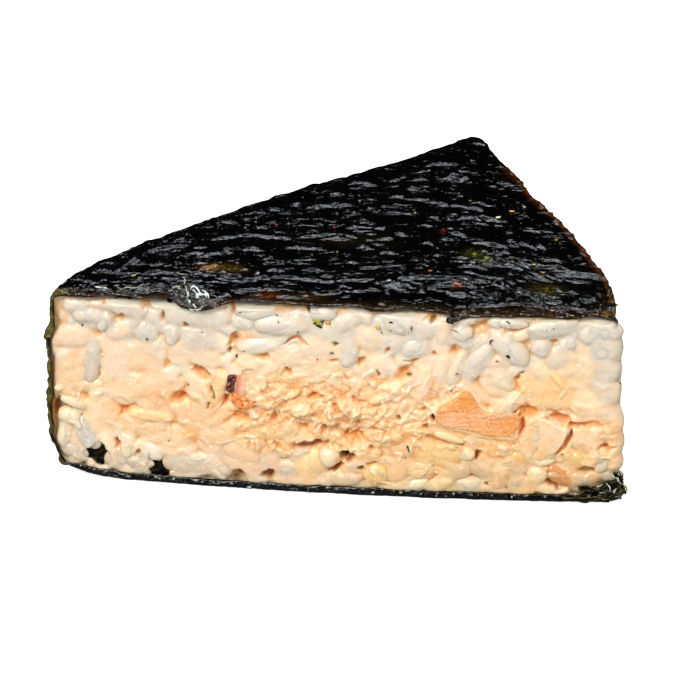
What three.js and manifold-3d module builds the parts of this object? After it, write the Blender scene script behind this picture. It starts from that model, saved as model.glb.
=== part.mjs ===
// A triangular onigiri (rice ball) cut straight through, lying on its flat side.
// One nori sheet wraps the top, the two slanted sides and the bottom. The cut face
// at the front is open and shows the packed rice, the layer of salmon filling that
// runs back through the block, and the larger salmon pieces in that layer.
//
// Millimetres, +Z up. The cut face looks along -Y, +X runs to its right-hand end.
// The origin is the centre of the bounding box, on the plane the block rests on.
import * as THREE from 'three';
import { mergeVertices } from 'three/addons/utils/BufferGeometryUtils.js';
import { ImprovedNoise } from 'three/addons/math/ImprovedNoise.js';
import Module from 'manifold-3d';

const wasm = await Module();
wasm.setup();

// ---- driving dimensions (mm, degrees) ----
const CUT_WIDTH = 84;        // nori to nori across the cut face
const THICKNESS = 30.2;      // flat side to flat side
const SLANT_LEFT = 45;       // angle of the left slanted side to the cut face
const SLANT_RIGHT = 68.2;    // angle of the right slanted side to the cut face
const CORNER_LEFT = 8.4;     // plan radius where the left side curls round to the cut
const CORNER_RIGHT = 18.7;   // plan radius where the right side meets the cut
const CORNER_BACK = 1.6;     // plan radius of the folded back corner
const EDGE_ROUND = 1.8;      // round-over between the flat sides and the walls
const BOWS = [               // how the packed rice bows the slanted sides out: where along the wall, reach, how far, which way
  { at: 0.22, reach: 0.20, out: 3.2, turn: 90 + SLANT_LEFT },
  { at: 0.85, reach: 0.105, out: 1.6, turn: 90 - SLANT_RIGHT },
];
const NORI = 0.5;            // wrapped sheet, with its overlaps
const FIT = 0.3;             // clearance between neighbouring pieces
const TIP_LIFT = 1.3;        // how far the left end curls up off the table
const BELLY = 2.0;           // how far the soft cut face bulges forward low down
const SWELL = 0.5;           // slow unevenness of the top face
const FLARE = 2.4;           // loose nori corner at the right end of the base
const SET_BACK = 1.2;        // the right wall's cut edge sits this far behind the cut face
const TABS = [               // torn or crumpled spots of the top lip: where along the cut, width, how far down and out
  { x: -20.5, width: 3.6, drop: 1.3, out: 1.1 },
  { x: 17.6, width: 1.8, drop: 1.0, out: 0.5 },
  { x: -38.5, width: 2.6, drop: 0.5, out: 0.4 },
];
const RICE_PROUD = 0.4;      // rice stands out past the cut edge of the sheet
const RICE_OVER = 1.9;       // how far the rice bulges round the set-back right edge
const GRAIN_LENGTH = 7.2, GRAIN_WIDTH = 3.4, GRAIN_RELIEF = 1.1; // cooked short-grain rice
const FILL_LEFT = -35.5, FILL_RIGHT = 38.5;   // the filling's two ends on the cut face
const FILL_LOW = 5.4;        // its underside above the table
const FILL_HIGH_LEFT = 18.8, FILL_HIGH_RIGHT = 16.4; // its upper side, left and right
const FILL_MARGIN = 5.5;     // rice left between the filling and the slanted sides
const CHUNKS = [             // larger salmon pieces: centre x and z on the cut face, size, turn
  { name: 'salmon_chunk_large', x: 21.6, z: 13.2, length: 12.6, height: 5.2, depth: 7.0, turn: 9 },
  { name: 'salmon_chunk_folded', x: 32.6, z: 10.1, length: 7.0, height: 6.2, depth: 6.0, turn: -14 },
  { name: 'salmon_chunk_seared', x: -13.4, z: 13.6, length: 4.6, height: 7.6, depth: 5.4, turn: -10 },
];
// grid resolution
const N_WALL = 36, N_RUN = 3, N_HEIGHT = 4, N_CUT_X = 50, N_CUT_Z = 16, N_FILL_X = 30, N_FILL_Y = 5, N_FILL_Z = 4;

const noise = new ImprovedNoise();
const { degToRad: rad, lerp, clamp, smoothstep } = THREE.MathUtils;
const HALF = CUT_WIDTH / 2;
const L = rad(SLANT_LEFT), R = rad(SLANT_RIGHT);

// ---- plan outline of the walls: left end of the cut, round the back corner, to its right end ----
const leftTurn = Math.PI / 2 - L, rightTurn = Math.PI / 2 - R;
const leftFoot = new THREE.Vector2(-HALF + CORNER_LEFT * (1 - Math.cos(leftTurn)), CORNER_LEFT * Math.sin(leftTurn));
const rightFoot = new THREE.Vector2(HALF - CORNER_RIGHT * (1 - Math.cos(rightTurn)), CORNER_RIGHT * Math.sin(rightTurn));
const reach = ((rightFoot.x - leftFoot.x) * Math.sin(R) + (rightFoot.y - leftFoot.y) * Math.cos(R)) / Math.sin(L + R);
const apex = new THREE.Vector2(leftFoot.x + reach * Math.cos(L), leftFoot.y + reach * Math.sin(L));

function wallPath() {
  const inner = Math.PI - L - R;
  const set = CORNER_BACK / Math.tan(inner / 2);
  const towards = new THREE.Vector2(Math.cos(R) - Math.cos(L), -Math.sin(L) - Math.sin(R)).normalize();
  const c = apex.clone().addScaledVector(towards, CORNER_BACK / Math.sin(inner / 2));
  const p = new THREE.Path();
  p.absarc(-HALF + CORNER_LEFT, 0, CORNER_LEFT, Math.PI, Math.PI - leftTurn, true);
  p.lineTo(apex.x - set * Math.cos(L), apex.y - set * Math.sin(L));
  p.absarc(c.x, c.y, CORNER_BACK, Math.PI / 2 + L, Math.PI / 2 - R, true);
  p.lineTo(rightFoot.x, rightFoot.y);
  p.absarc(HALF - CORNER_RIGHT, 0, CORNER_RIGHT, rightTurn, 0, true);
  return p;
}

// The path as samples with their distance along it, looked up by share of its length.
const WALL = (() => {
  const raw = wallPath().getPoints(48), samples = [raw[0]], at = [0];
  for (const q of raw.slice(1)) {
    const step = q.distanceTo(samples[samples.length - 1]);
    if (step < 1e-6) continue;
    samples.push(q);
    at.push(at[at.length - 1] + step);
  }
  return { samples, at, length: at[at.length - 1] };
})();
function wallAt(s) {
  const { samples, at, length } = WALL, want = clamp(s, 0, 1) * length;
  let i = 1;
  while (i < at.length - 1 && at[i] < want) i++;
  const t = (want - at[i - 1]) / (at[i] - at[i - 1]);
  const p = new THREE.Vector2().lerpVectors(samples[i - 1], samples[i], t);
  const share = want / length, ends = Math.min(1, share / 0.06, (1 - share) / 0.06);
  for (const bow of BOWS) {
    const out = bow.out * ends * Math.exp(-(((share - bow.at) / bow.reach) ** 4));
    p.x += Math.cos(rad(bow.turn)) * out;
    p.y += Math.sin(rad(bow.turn)) * out;
  }
  return p;
}
function wallFrame(s) { // point and inward normal
  const e = 0.004, a = wallAt(s - e), b = wallAt(s + e);
  const t = b.sub(a).normalize();
  if (s <= 0) t.set(0, 1);
  if (s >= 1) t.set(0, -1);
  return [wallAt(s), new THREE.Vector2(t.y, -t.x)];
}

// Stations along the wall, closer together round the corners.
const STATIONS = (() => {
  const fine = 3000, weight = [0], out = [];
  for (let i = 1; i <= fine; i++) {
    const [, n0] = wallFrame((i - 1) / fine), [, n1] = wallFrame(i / fine);
    weight.push(weight[i - 1] + WALL.length / fine + Math.abs(n0.cross(n1)) * 8);
  }
  for (let k = 0, i = 0; k <= N_WALL; k++) {
    while (i < fine && weight[i + 1] < (weight[fine] * k) / N_WALL) i++;
    out.push(k === N_WALL ? 1 : i / fine);
  }
  return out;
})();

// Front end of the ruling that belongs to wall station s: it runs along the cut face.
const LEFT_RUN = 4.4, RIGHT_RUN = 4.4;
function frontX(s) {
  const [w] = wallFrame(s);
  const along = clamp((w.x + HALF) / CUT_WIDTH, 0, 1);
  return lerp(-HALF + LEFT_RUN, HALF - RIGHT_RUN, lerp(s, along, 0.5));
}

// Shared shaping of the soft block, so that every piece moves together and none overlap.
function warp(v) {
  const k = clamp(v.z / THICKNESS, 0, 1);
  const lift = TIP_LIFT * Math.max(0, (-HALF + 12 - v.x) / 12) ** 1.5;
  const swell = SWELL * noise.noise(v.x / 17 + 3.1, v.y / 17 + 8.2, 0.4);
  const front = clamp(1 - v.y / 16, 0, 1);
  const belly = BELLY * Math.max(0, 1 - ((v.x - 6) / 46) ** 2) * (1 - 0.85 * k) * front * front;
  v.z += (1 - k) * lift + k * swell;
  v.y -= belly;
  return v;
}

// Where the top lip is torn or crumpled, it hangs lower and the rice under it makes way.
function tabShare(x) {
  let drop = 0, out = 0;
  for (const tab of TABS) {
    const near = Math.exp(-(((x - tab.x) / tab.width) ** 2));
    drop += tab.drop * near;
    out += tab.out * near;
  }
  return { drop, out };
}

// Half-section along one ruling: x out from the cut face (0) to the wall (run), z up, with the
// edge between flat and wall rounded. column 0..N_RUN+2 and row 0..N_HEIGHT+4 are grid lines.
const QUARTER = Math.SQRT2 - 1, LIP = 2.6;
function section(column, row, run, z0, z1, r) {
  const lip = Math.min(LIP, (run - r) / N_RUN); // the first grid line stays close to the cut
  let x = column === 0 ? 0 : lip + (run - r - lip) * ((column - 1) / (N_RUN - 1));
  if (column > N_RUN) x = column === N_RUN + 1 ? run - r + r * QUARTER : run;
  const up = row > (N_HEIGHT + 4) / 2, e = up ? N_HEIGHT + 4 - row : row;
  const depth = e === 0 ? 0 : e === 1 ? r * (1 - QUARTER) : r + (z1 - z0 - 2 * r) * ((e - 2) / N_HEIGHT);
  let z = up ? z1 - depth : z0 + depth;
  if (column > N_RUN && e < 2) {
    const dx = x - (run - r), dz = r - depth;
    const m = Math.max(dx, dz), l = Math.hypot(dx, dz);
    x = run - r + (dx / l) * m;
    z = up ? z1 - r + (dz / l) * m : z0 + r - (dz / l) * m;
  }
  return [x, z];
}
function blockPoint(s, column, row, inset) {
  const [w, n] = wallFrame(s);
  w.addScaledVector(n, inset);
  const front = new THREE.Vector2(frontX(s), 0), run = w.distanceTo(front);
  const r = Math.min(EDGE_ROUND - inset * 0.7, run * 0.55);
  const [x, z] = section(column, row, run, inset, THICKNESS - inset, r);
  front.lerp(w, x / run);
  return new THREE.Vector3(front.x, front.y, z);
}
const COLUMNS = N_RUN + 2, ROWS = N_HEIGHT + 4;

// A box whose grid is moved vertex by vertex by fn(i, j, k), with its faces turned out.
function mappedBox(nx, ny, nz, fn) {
  const g = new THREE.BoxGeometry(nx, ny, nz, nx, ny, nz);
  g.deleteAttribute('normal');
  g.deleteAttribute('uv');
  const p = g.getAttribute('position'), seen = new Map();
  for (let n = 0; n < p.count; n++) {
    const i = Math.round(p.getX(n) + nx / 2), j = Math.round(p.getY(n) + ny / 2), k = Math.round(p.getZ(n) + nz / 2);
    const key = `${i},${j},${k}`;
    if (!seen.has(key)) seen.set(key, fn(i, j, k));
    const v = seen.get(key);
    p.setXYZ(n, v.x, v.y, v.z);
  }
  const merged = mergeVertices(g, 1e-4), ix = merged.index.array, q = merged.getAttribute('position');
  const a = new THREE.Vector3(), b = new THREE.Vector3(), c = new THREE.Vector3();
  let volume = 0;
  for (let i = 0; i < ix.length; i += 3) {
    a.fromBufferAttribute(q, ix[i]);
    b.fromBufferAttribute(q, ix[i + 1]);
    c.fromBufferAttribute(q, ix[i + 2]);
    volume += a.dot(b.cross(c)) / 6;
  }
  if (volume < 0) for (let i = 0; i < ix.length; i += 3) [ix[i + 1], ix[i + 2]] = [ix[i + 2], ix[i + 1]];
  return merged;
}

// ---- packed grains as relief: scattered half ellipsoids, the highest one shows ----
function hash(i, j, k) {
  const s = Math.sin(i * 127.1 + j * 311.7 + k * 74.7) * 43758.5453;
  return s - Math.floor(s);
}
function grainRelief(a, b) {
  const ca = GRAIN_LENGTH * 0.74, cb = GRAIN_WIDTH * 1.02;
  const ia = Math.floor(a / ca), ib = Math.floor(b / cb);
  let best = 0;
  for (let i = ia - 1; i <= ia + 1; i++) {
    for (let j = ib - 2; j <= ib + 2; j++) {
      const da = a - (i + 0.5 + 0.7 * (hash(i, j, 1) - 0.5)) * ca;
      const db = b - (j + 0.5 + 0.7 * (hash(i, j, 2) - 0.5)) * cb;
      const turn = (hash(i, j, 3) - 0.5) * Math.PI, size = 0.85 + 0.3 * hash(i, j, 4);
      const l = (da * Math.cos(turn) + db * Math.sin(turn)) / (GRAIN_LENGTH * 0.5 * size);
      const w = (db * Math.cos(turn) - da * Math.sin(turn)) / (GRAIN_WIDTH * 0.5 * size);
      best = Math.max(best, Math.sqrt(Math.max(0, 1 - l * l - w * w)) * (0.7 + 0.3 * hash(i, j, 5)));
    }
  }
  return best * GRAIN_RELIEF;
}

// ---- rice: the packed block inside the sheet ----
function riceGeometry() {
  return mappedBox(N_WALL, COLUMNS, ROWS, (i, j, k) => {
    const v = blockPoint(STATIONS[i], j, k, NORI + FIT);
    const rim = 1 - smoothstep(v.x, HALF - 3, HALF - 1.2); // drawn in behind the set-back edge
    if (j > 0 && i < N_WALL) return warp(v);
    v.y += lerp(SET_BACK + 0.4, 0.1, rim);
    if (j === 0 && k >= ROWS - 1) v.z -= tabShare(v.x).drop * (k === ROWS ? 1 : 0.5);
    return warp(v);
  });
}
// Its cut face: a slab of standing grains that sinks into the block all round its rim.
function cutFaceGeometry() {
  const low = NORI + FIT + 0.25, high = THICKNESS - low;
  return mappedBox(N_CUT_X, 1, N_CUT_Z, (i, j, k) => {
    const w = (k / N_CUT_Z) * 2 - 1, u = (i / N_CUT_X) * 2 - 1;
    const round = 1 - 0.045 * Math.max(0, Math.abs(w) * 5 - 4) ** 2;
    const over = RICE_OVER * clamp((0.9 - Math.abs(w)) * 3.2, 0, 1) * smoothstep(u, 0.9, 1);
    const x = u * (HALF - low) * round + over;
    const bulge = 1 + 0.5 * smoothstep(u, 0.85, 1);
    const z = (low + high) / 2 + (w * (high - low)) / 2 - tabShare(x).drop * 1.15 * smoothstep(w, 0.3, 1);
    const rim = Math.min(1, 0.05 + (1 - Math.abs(w)) * 6, 0.05 + (1 - Math.abs(u)) * 16);
    const y = j === 0 ? 0.35 - rim * (0.35 + (RICE_PROUD + grainRelief(x, z)) * bulge) : lerp(1.6, 0.5, smoothstep(u, 0.93, 0.98));
    return warp(new THREE.Vector3(x, y, z));
  });
}

// ---- nori: one sheet round the section, outside face less its own thickness, open at the cut ----
function noriGeometry() {
  const path = [];
  for (let j = 0; j < COLUMNS; j++) path.push([j, 0]);
  for (let k = 0; k <= ROWS; k++) path.push([COLUMNS, k]);
  for (let j = COLUMNS - 1; j >= 0; j--) path.push([j, ROWS]);
  const last = path.length - 1;
  return mappedBox(N_WALL, last, 1, (i, t, side) => {
    const s = STATIONS[i], v = blockPoint(s, path[t][0], path[t][1], side === 0 ? 0 : NORI);
    // the lips are torn a little unevenly along the cut
    if (t === 0 || t === last) v.y -= 0.35 + 0.5 * noise.noise(v.x / 5, t, 5.5);
    if (t === last) {
      const tab = tabShare(v.x);
      v.y -= tab.out;
      v.z -= tab.drop;
    }
    // the right wall ends a little behind the cut, so the rice bulges past it
    if (i === N_WALL && t > 0 && t < last) v.y += SET_BACK * clamp(Math.min(v.z, THICKNESS - v.z) / 3 - 0.3, 0, 1);
    // the loose corner flares away from the rice at the right end of the base
    const low = clamp(1 - v.z / 6, 0, 1), near = clamp(1 - v.y / 7, 0, 1);
    v.x += FLARE * smoothstep(v.x, HALF - 4, HALF) * low * near;
    return warp(v);
  });
}

// ---- filling: a layer of flaked salmon through the middle, level with the cut ----
function fillHigh(x) {
  return lerp(FILL_HIGH_LEFT, FILL_HIGH_RIGHT, smoothstep(x, -6, 12)) - 4.0 * smoothstep(-x, 18, 34);
}
function fillLow(x) {
  return FILL_LOW + 2.0 * smoothstep(-x, 22, 36);
}
function fillBack(x) { // how far back the layer reaches at x
  const toLeft = (x - leftFoot.x) * Math.tan(L) + leftFoot.y - FILL_MARGIN / Math.cos(L);
  const toRight = (rightFoot.x - x) * Math.tan(R) + rightFoot.y - FILL_MARGIN / Math.cos(R);
  const soft = 6, h = clamp(0.5 + (toRight - toLeft) / (2 * soft), 0, 1); // rounded where the two meet
  return Math.max(2.5, lerp(toRight, toLeft, h) - soft * h * (1 - h));
}
function fillingGeometry(grow) {
  return mappedBox(N_FILL_X, N_FILL_Y, N_FILL_Z, (i, j, k) => {
    const u = i / N_FILL_X, x = lerp(FILL_LEFT, FILL_RIGHT, u), back = fillBack(x);
    const d = j / N_FILL_Y, y = back * d;
    const high = fillHigh(x) + 0.8 * noise.noise(x / 5, y / 6, 1.7);
    const low = fillLow(x) + 0.7 * noise.noise(x / 5, y / 6, 9.3);
    // thinner towards the back rim and both ends
    const thin = Math.sqrt(clamp(1 - d * d * 0.93, 0, 1)) * Math.sqrt(clamp(Math.sin(Math.PI * u) * 4 + 0.12, 0, 1));
    const w = (k / N_FILL_Z) * 2 - 1, half = ((high - low) / 2) * thin;
    const v = new THREE.Vector3(x, y, (high + low) / 2 + half * w);
    if (grow > 0) { // the pocket: drawn out past the cut face, and wider all round by the clearance
      v.x += (u * 2 - 1) * grow;
      v.z += w * grow * 1.6;
      v.y += j === 0 ? -5 : grow * 1.6 * d;
    } else if (j === 0) {
      v.y -= 0.8 + 0.7 * noise.noise(x / 2.9, v.z / 2.6, 3.3);
    }
    return warp(v);
  });
}

// ---- the larger pieces: flat-sided flakes with softened corners, set into the filling ----
function chunkGeometry(c, grow) {
  return mappedBox(5, 3, 3, (i, j, k) => {
    const p = new THREE.Vector3((i / 5) * 2 - 1, (j / 3) * 2 - 1, (k / 3) * 2 - 1);
    const forward = p.y < 0 ? -p.y : 0, m = Math.max(Math.abs(p.x), Math.abs(p.y), Math.abs(p.z));
    p.multiplyScalar(lerp(1, m / (p.length() || 1), 0.4)); // a box drawn part way to a ball
    p.z *= 1 - 0.2 * p.x;
    p.set(p.x * (c.length / 2 + grow), p.y * (c.depth / 2 + grow), p.z * (c.height / 2 + grow));
    if (grow > 0) p.y -= 5 * forward;
    p.applyAxisAngle(new THREE.Vector3(0, 1, 0), rad(c.turn));
    p.add(new THREE.Vector3(c.x, c.depth / 2 - 1.5, c.z));
    return warp(p);
  });
}

function toSolid(g) {
  return new wasm.Manifold(new wasm.Mesh({
    numProp: 3,
    vertProperties: new Float32Array(g.getAttribute('position').array),
    triVerts: new Uint32Array(g.index.array),
  }));
}
function fromSolid(solid) {
  const m = solid.getMesh(), v = new Float32Array(m.numVert * 3);
  for (let i = 0; i < m.numVert; i++) v.set(m.vertProperties.subarray(i * m.numProp, i * m.numProp + 3), i * 3);
  return new THREE.BufferGeometry()
    .setAttribute('position', new THREE.BufferAttribute(v, 3))
    .setIndex(new THREE.BufferAttribute(new Uint32Array(m.triVerts), 1));
}

// ---- assemble ----
const looks = {
  nori: new THREE.MeshStandardMaterial({ color: 0x14160f, roughness: 0.38, metalness: 0 }),
  rice: new THREE.MeshStandardMaterial({ color: 0xeae3d6, roughness: 0.3, metalness: 0 }),
  filling: new THREE.MeshStandardMaterial({ color: 0xf4c9a0, roughness: 0.42, metalness: 0 }),
  salmon: new THREE.MeshStandardMaterial({ color: 0xf0a568, roughness: 0.45, metalness: 0 }),
};
const group = new THREE.Group();
function place(name, geometry, material) {
  geometry.computeVertexNormals();
  const mesh = new THREE.Mesh(geometry, material);
  mesh.name = name;
  group.add(mesh);
}

place('nori_wrap', noriGeometry(), looks.nori);
// The rice keeps a pocket for the filling, and the filling one for each large piece.
const packed = toSolid(riceGeometry()).add(toSolid(cutFaceGeometry()));
place('rice', fromSolid(packed.subtract(toSolid(fillingGeometry(FIT)))), looks.rice);
let filling = toSolid(fillingGeometry(0));
for (const c of CHUNKS) filling = filling.subtract(toSolid(chunkGeometry(c, FIT)));
place('salmon_filling', fromSolid(filling), looks.filling);
for (const c of CHUNKS) place(c.name, chunkGeometry(c, 0), looks.salmon);

// Origin: centre of the bounding box, on the resting plane.
const box = new THREE.Box3().setFromObject(group), centre = box.getCenter(new THREE.Vector3());
for (const mesh of group.children) mesh.position.set(-centre.x, -centre.y, -box.min.z);

export default group;
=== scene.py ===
import math
import bpy
import numpy as np
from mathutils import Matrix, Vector


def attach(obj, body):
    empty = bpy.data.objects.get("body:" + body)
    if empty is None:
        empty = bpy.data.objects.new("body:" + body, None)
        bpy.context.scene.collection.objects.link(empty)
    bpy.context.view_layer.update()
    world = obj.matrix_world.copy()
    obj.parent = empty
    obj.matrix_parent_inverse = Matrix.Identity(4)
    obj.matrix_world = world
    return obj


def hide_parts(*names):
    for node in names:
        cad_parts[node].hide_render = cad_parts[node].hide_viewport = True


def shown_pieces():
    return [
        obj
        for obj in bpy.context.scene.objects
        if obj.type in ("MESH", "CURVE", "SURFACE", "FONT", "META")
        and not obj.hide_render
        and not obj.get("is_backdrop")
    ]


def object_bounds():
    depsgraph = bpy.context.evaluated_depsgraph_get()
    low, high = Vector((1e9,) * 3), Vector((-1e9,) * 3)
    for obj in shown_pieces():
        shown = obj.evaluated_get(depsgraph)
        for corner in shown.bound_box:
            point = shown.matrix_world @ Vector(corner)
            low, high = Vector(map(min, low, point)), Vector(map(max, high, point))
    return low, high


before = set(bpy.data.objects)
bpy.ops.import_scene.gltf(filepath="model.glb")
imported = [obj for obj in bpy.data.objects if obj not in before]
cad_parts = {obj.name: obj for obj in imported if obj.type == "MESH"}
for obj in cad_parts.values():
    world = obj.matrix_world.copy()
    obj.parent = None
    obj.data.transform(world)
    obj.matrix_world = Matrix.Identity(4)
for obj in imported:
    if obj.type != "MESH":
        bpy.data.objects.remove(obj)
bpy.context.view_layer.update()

OFFSET = np.array([-0.89410, -29.59317, 0.0])      # cut-face frame to row frame
rng = np.random.default_rng(41)

# ------------------------------------------------------------------ dimensions shared with the CAD
WIDTH, THICK = 84.0, 30.2
HALF = WIDTH / 2
SLANT_L, SLANT_R = math.radians(45), math.radians(68.2)
CORNER_L, CORNER_R, CORNER_B = 8.4, 18.7, 1.6
EDGE = 1.8
TIP_LIFT, BELLY, SWELL, FLARE, SET_BACK = 1.3, 2.0, 0.5, 2.4, 1.2
FILL_L, FILL_R = -35.5, 38.5

# ------------------------------------------------------------------ noise
_P = [151, 160, 137, 91, 90, 15, 131, 13, 201, 95, 96, 53, 194, 233, 7, 225, 140, 36, 103, 30, 69, 142, 8, 99, 37, 240,
      21, 10, 23, 190, 6, 148, 247, 120, 234, 75, 0, 26, 197, 62, 94, 252, 219, 203, 117, 35, 11, 32, 57, 177, 33, 88,
      237, 149, 56, 87, 174, 20, 125, 136, 171, 168, 68, 175, 74, 165, 71, 134, 139, 48, 27, 166, 77, 146, 158, 231,
      83, 111, 229, 122, 60, 211, 133, 230, 220, 105, 92, 41, 55, 46, 245, 40, 244, 102, 143, 54, 65, 25, 63, 161, 1,
      216, 80, 73, 209, 76, 132, 187, 208, 89, 18, 169, 200, 196, 135, 130, 116, 188, 159, 86, 164, 100, 109, 198,
      173, 186, 3, 64, 52, 217, 226, 250, 124, 123, 5, 202, 38, 147, 118, 126, 255, 82, 85, 212, 207, 206, 59, 227,
      47, 16, 58, 17, 182, 189, 28, 42, 223, 183, 170, 213, 119, 248, 152, 2, 44, 154, 163, 70, 221, 153, 101, 155,
      167, 43, 172, 9, 129, 22, 39, 253, 19, 98, 108, 110, 79, 113, 224, 232, 178, 185, 112, 104, 218, 246, 97, 228,
      251, 34, 242, 193, 238, 210, 144, 12, 191, 179, 162, 241, 81, 51, 145, 235, 249, 14, 239, 107, 49, 192, 214,
      31, 181, 199, 106, 157, 184, 84, 204, 176, 115, 121, 50, 45, 127, 4, 150, 254, 138, 236, 205, 93, 222, 114, 67,
      29, 24, 72, 243, 141, 128, 195, 78, 66, 215, 61, 156, 180]
PERM = np.array(_P * 2 + _P[:2])


def perlin(x, y=0.0, z=0.0):
    """Improved Perlin noise, about -1 to 1, the same as the CAD's."""
    x, y, z = np.broadcast_arrays(np.asarray(x, float), np.asarray(y, float), np.asarray(z, float))
    xi, yi, zi = (np.floor(c).astype(np.int64) for c in (x, y, z))
    xf, yf, zf = x - xi, y - yi, z - zi
    X, Y, Z = xi & 255, yi & 255, zi & 255
    u, v, w = (t * t * t * (t * (t * 6 - 15) + 10) for t in (xf, yf, zf))

    def grad(h, a, b, c):
        h = h & 15
        p = np.where(h < 8, a, b)
        q = np.where(h < 4, b, np.where((h == 12) | (h == 14), a, c))
        return np.where(h & 1, -p, p) + np.where(h & 2, -q, q)

    A = PERM[X] + Y
    B = PERM[X + 1] + Y
    AA, AB, BA, BB = PERM[A] + Z, PERM[A + 1] + Z, PERM[B] + Z, PERM[B + 1] + Z
    lo = [(grad(PERM[p], xf - i, yf - j, zf)) for p, i, j in ((AA, 0, 0), (BA, 1, 0), (AB, 0, 1), (BB, 1, 1))]
    hi = [(grad(PERM[p + 1], xf - i, yf - j, zf - 1)) for p, i, j in ((AA, 0, 0), (BA, 1, 0), (AB, 0, 1), (BB, 1, 1))]
    f = [a + (b - a) * w for a, b in zip(lo, hi)]
    g0 = f[0] + (f[1] - f[0]) * u
    g1 = f[2] + (f[3] - f[2]) * u
    return g0 + (g1 - g0) * v


def fbm(x, y, z, octaves=3):
    total, amp = 0.0, 1.0
    for o in range(octaves):
        total = total + amp * perlin(x * 2 ** o + 7.3 * o, y * 2 ** o - 3.1 * o, z * 2 ** o + 1.7 * o)
        amp *= 0.5
    return total


def ridged(x, y, z, sharp=2.0):
    """Narrow crests, 0 to 1."""
    return np.clip(1 - np.abs(perlin(x, y, z)) * 2.4, 0, 1) ** sharp


def smooth(x, a, b):
    t = np.clip((np.asarray(x, float) - a) / (b - a), 0, 1)
    return t * t * (3 - 2 * t)


def mix(a, b, t):
    return a + (b - a) * t


# ------------------------------------------------------------------ the soft shape of the block, as in the CAD
def lift_at(x):
    return TIP_LIFT * np.maximum(0, (-HALF + 12 - x) / 12) ** 1.5


def swell_at(x, y):
    return SWELL * perlin(x / 17 + 3.1, y / 17 + 8.2, 0.4)


def belly_at(x, y, z):
    k = np.clip(z / THICK, 0, 1)
    front = np.clip(1 - y / 16, 0, 1)
    return BELLY * np.maximum(0, 1 - ((x - 6) / 46) ** 2) * (1 - 0.85 * k) * front ** 2


def warp(p):
    p = np.array(p, float)
    x, y, z = p[..., 0], p[..., 1], p[..., 2]
    k = np.clip(z / THICK, 0, 1)
    p[..., 2] = z + (1 - k) * lift_at(x) + k * swell_at(x, y)
    p[..., 1] = y - belly_at(x, y, z)
    return p


# ------------------------------------------------------------------ camera, and where a picture point lies on the food
CAM_AZ, CAM_EL, CAM_DIST, FOCAL = math.radians(5.28), math.radians(28), 600.0, 3918.0
TARGET = np.array([-0.9, 20.0, 14.6])
BACK = np.array([math.sin(CAM_AZ) * math.cos(CAM_EL), -math.cos(CAM_AZ) * math.cos(CAM_EL), math.sin(CAM_EL)])
RIGHT = np.array([math.cos(CAM_AZ), math.sin(CAM_AZ), 0.0])
UP = np.cross(BACK, RIGHT)
EYE = TARGET + BACK * CAM_DIST


def sight(px, py):
    px, py = np.asarray(px, float)[..., None], np.asarray(py, float)[..., None]
    return -BACK + RIGHT * (px - 337.5) / FOCAL + UP * (337.5 - py) / FOCAL


def on_top(px, py, z=THICK):
    d = sight(px, py)
    for _ in range(3):
        t = (z - EYE[2]) / d[..., 2]
        x, y = EYE[0] + d[..., 0] * t, EYE[1] + d[..., 1] * t
        z = THICK + swell_at(x, y)
    return x, y


def on_cut(px, py, out=0.45):
    """Place on the cut face, before warp(), that shows at a picture point."""
    d = sight(px, py)
    Y = -out
    for _ in range(6):
        t = (Y - EYE[1]) / d[..., 1]
        x, Z = EYE[0] + d[..., 0] * t, EYE[2] + d[..., 2] * t
        z = Z
        for _ in range(3):
            k = np.clip(z / THICK, 0, 1)
            z = Z - ((1 - k) * lift_at(x) + k * swell_at(x, -out))
        Y = -out - belly_at(x, np.full_like(x, -out), z)
    return x, z


_TX, _TY = np.arange(36, 641, 2.0), np.arange(280, 511, 2.0)
_GX, _GZ = on_cut(*np.meshgrid(_TX, _TY))


def on_cut_near(px, py):
    """on_cut() read from a table."""
    u = np.clip((np.asarray(px, float) - _TX[0]) / 2, 0, len(_TX) - 1.001)
    v = np.clip((np.asarray(py, float) - _TY[0]) / 2, 0, len(_TY) - 1.001)
    i, j = u.astype(int), v.astype(int)
    a, b = u - i, v - j
    return tuple((g[j, i] * (1 - a) + g[j, i + 1] * a) * (1 - b) + (g[j + 1, i] * (1 - a) + g[j + 1, i + 1] * a) * b
                 for g in (_GX, _GZ))


def oval(px, py, length, width, angle):
    """An oval given on the picture, as centre, half axes and turn on the cut face."""
    a = math.radians(angle)
    ca, sa = math.cos(a), math.sin(a)
    pts = [(px, py), (px + ca * length / 2, py - sa * length / 2), (px - ca * length / 2, py + sa * length / 2),
           (px - sa * width / 2, py - ca * width / 2), (px + sa * width / 2, py + ca * width / 2)]
    x, z = on_cut_near([p[0] for p in pts], [p[1] for p in pts])
    la, lb = math.hypot(x[1] - x[2], z[1] - z[2]) / 2, math.hypot(x[3] - x[4], z[3] - z[4]) / 2
    return x[0], z[0], la, lb, math.atan2(z[1] - z[2], x[1] - x[2])


# ------------------------------------------------------------------ colour
def linear(rgb):
    c = np.asarray(rgb, float) / 255
    return np.where(c <= 0.04045, c / 12.92, ((c + 0.055) / 1.055) ** 2.4)


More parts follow.
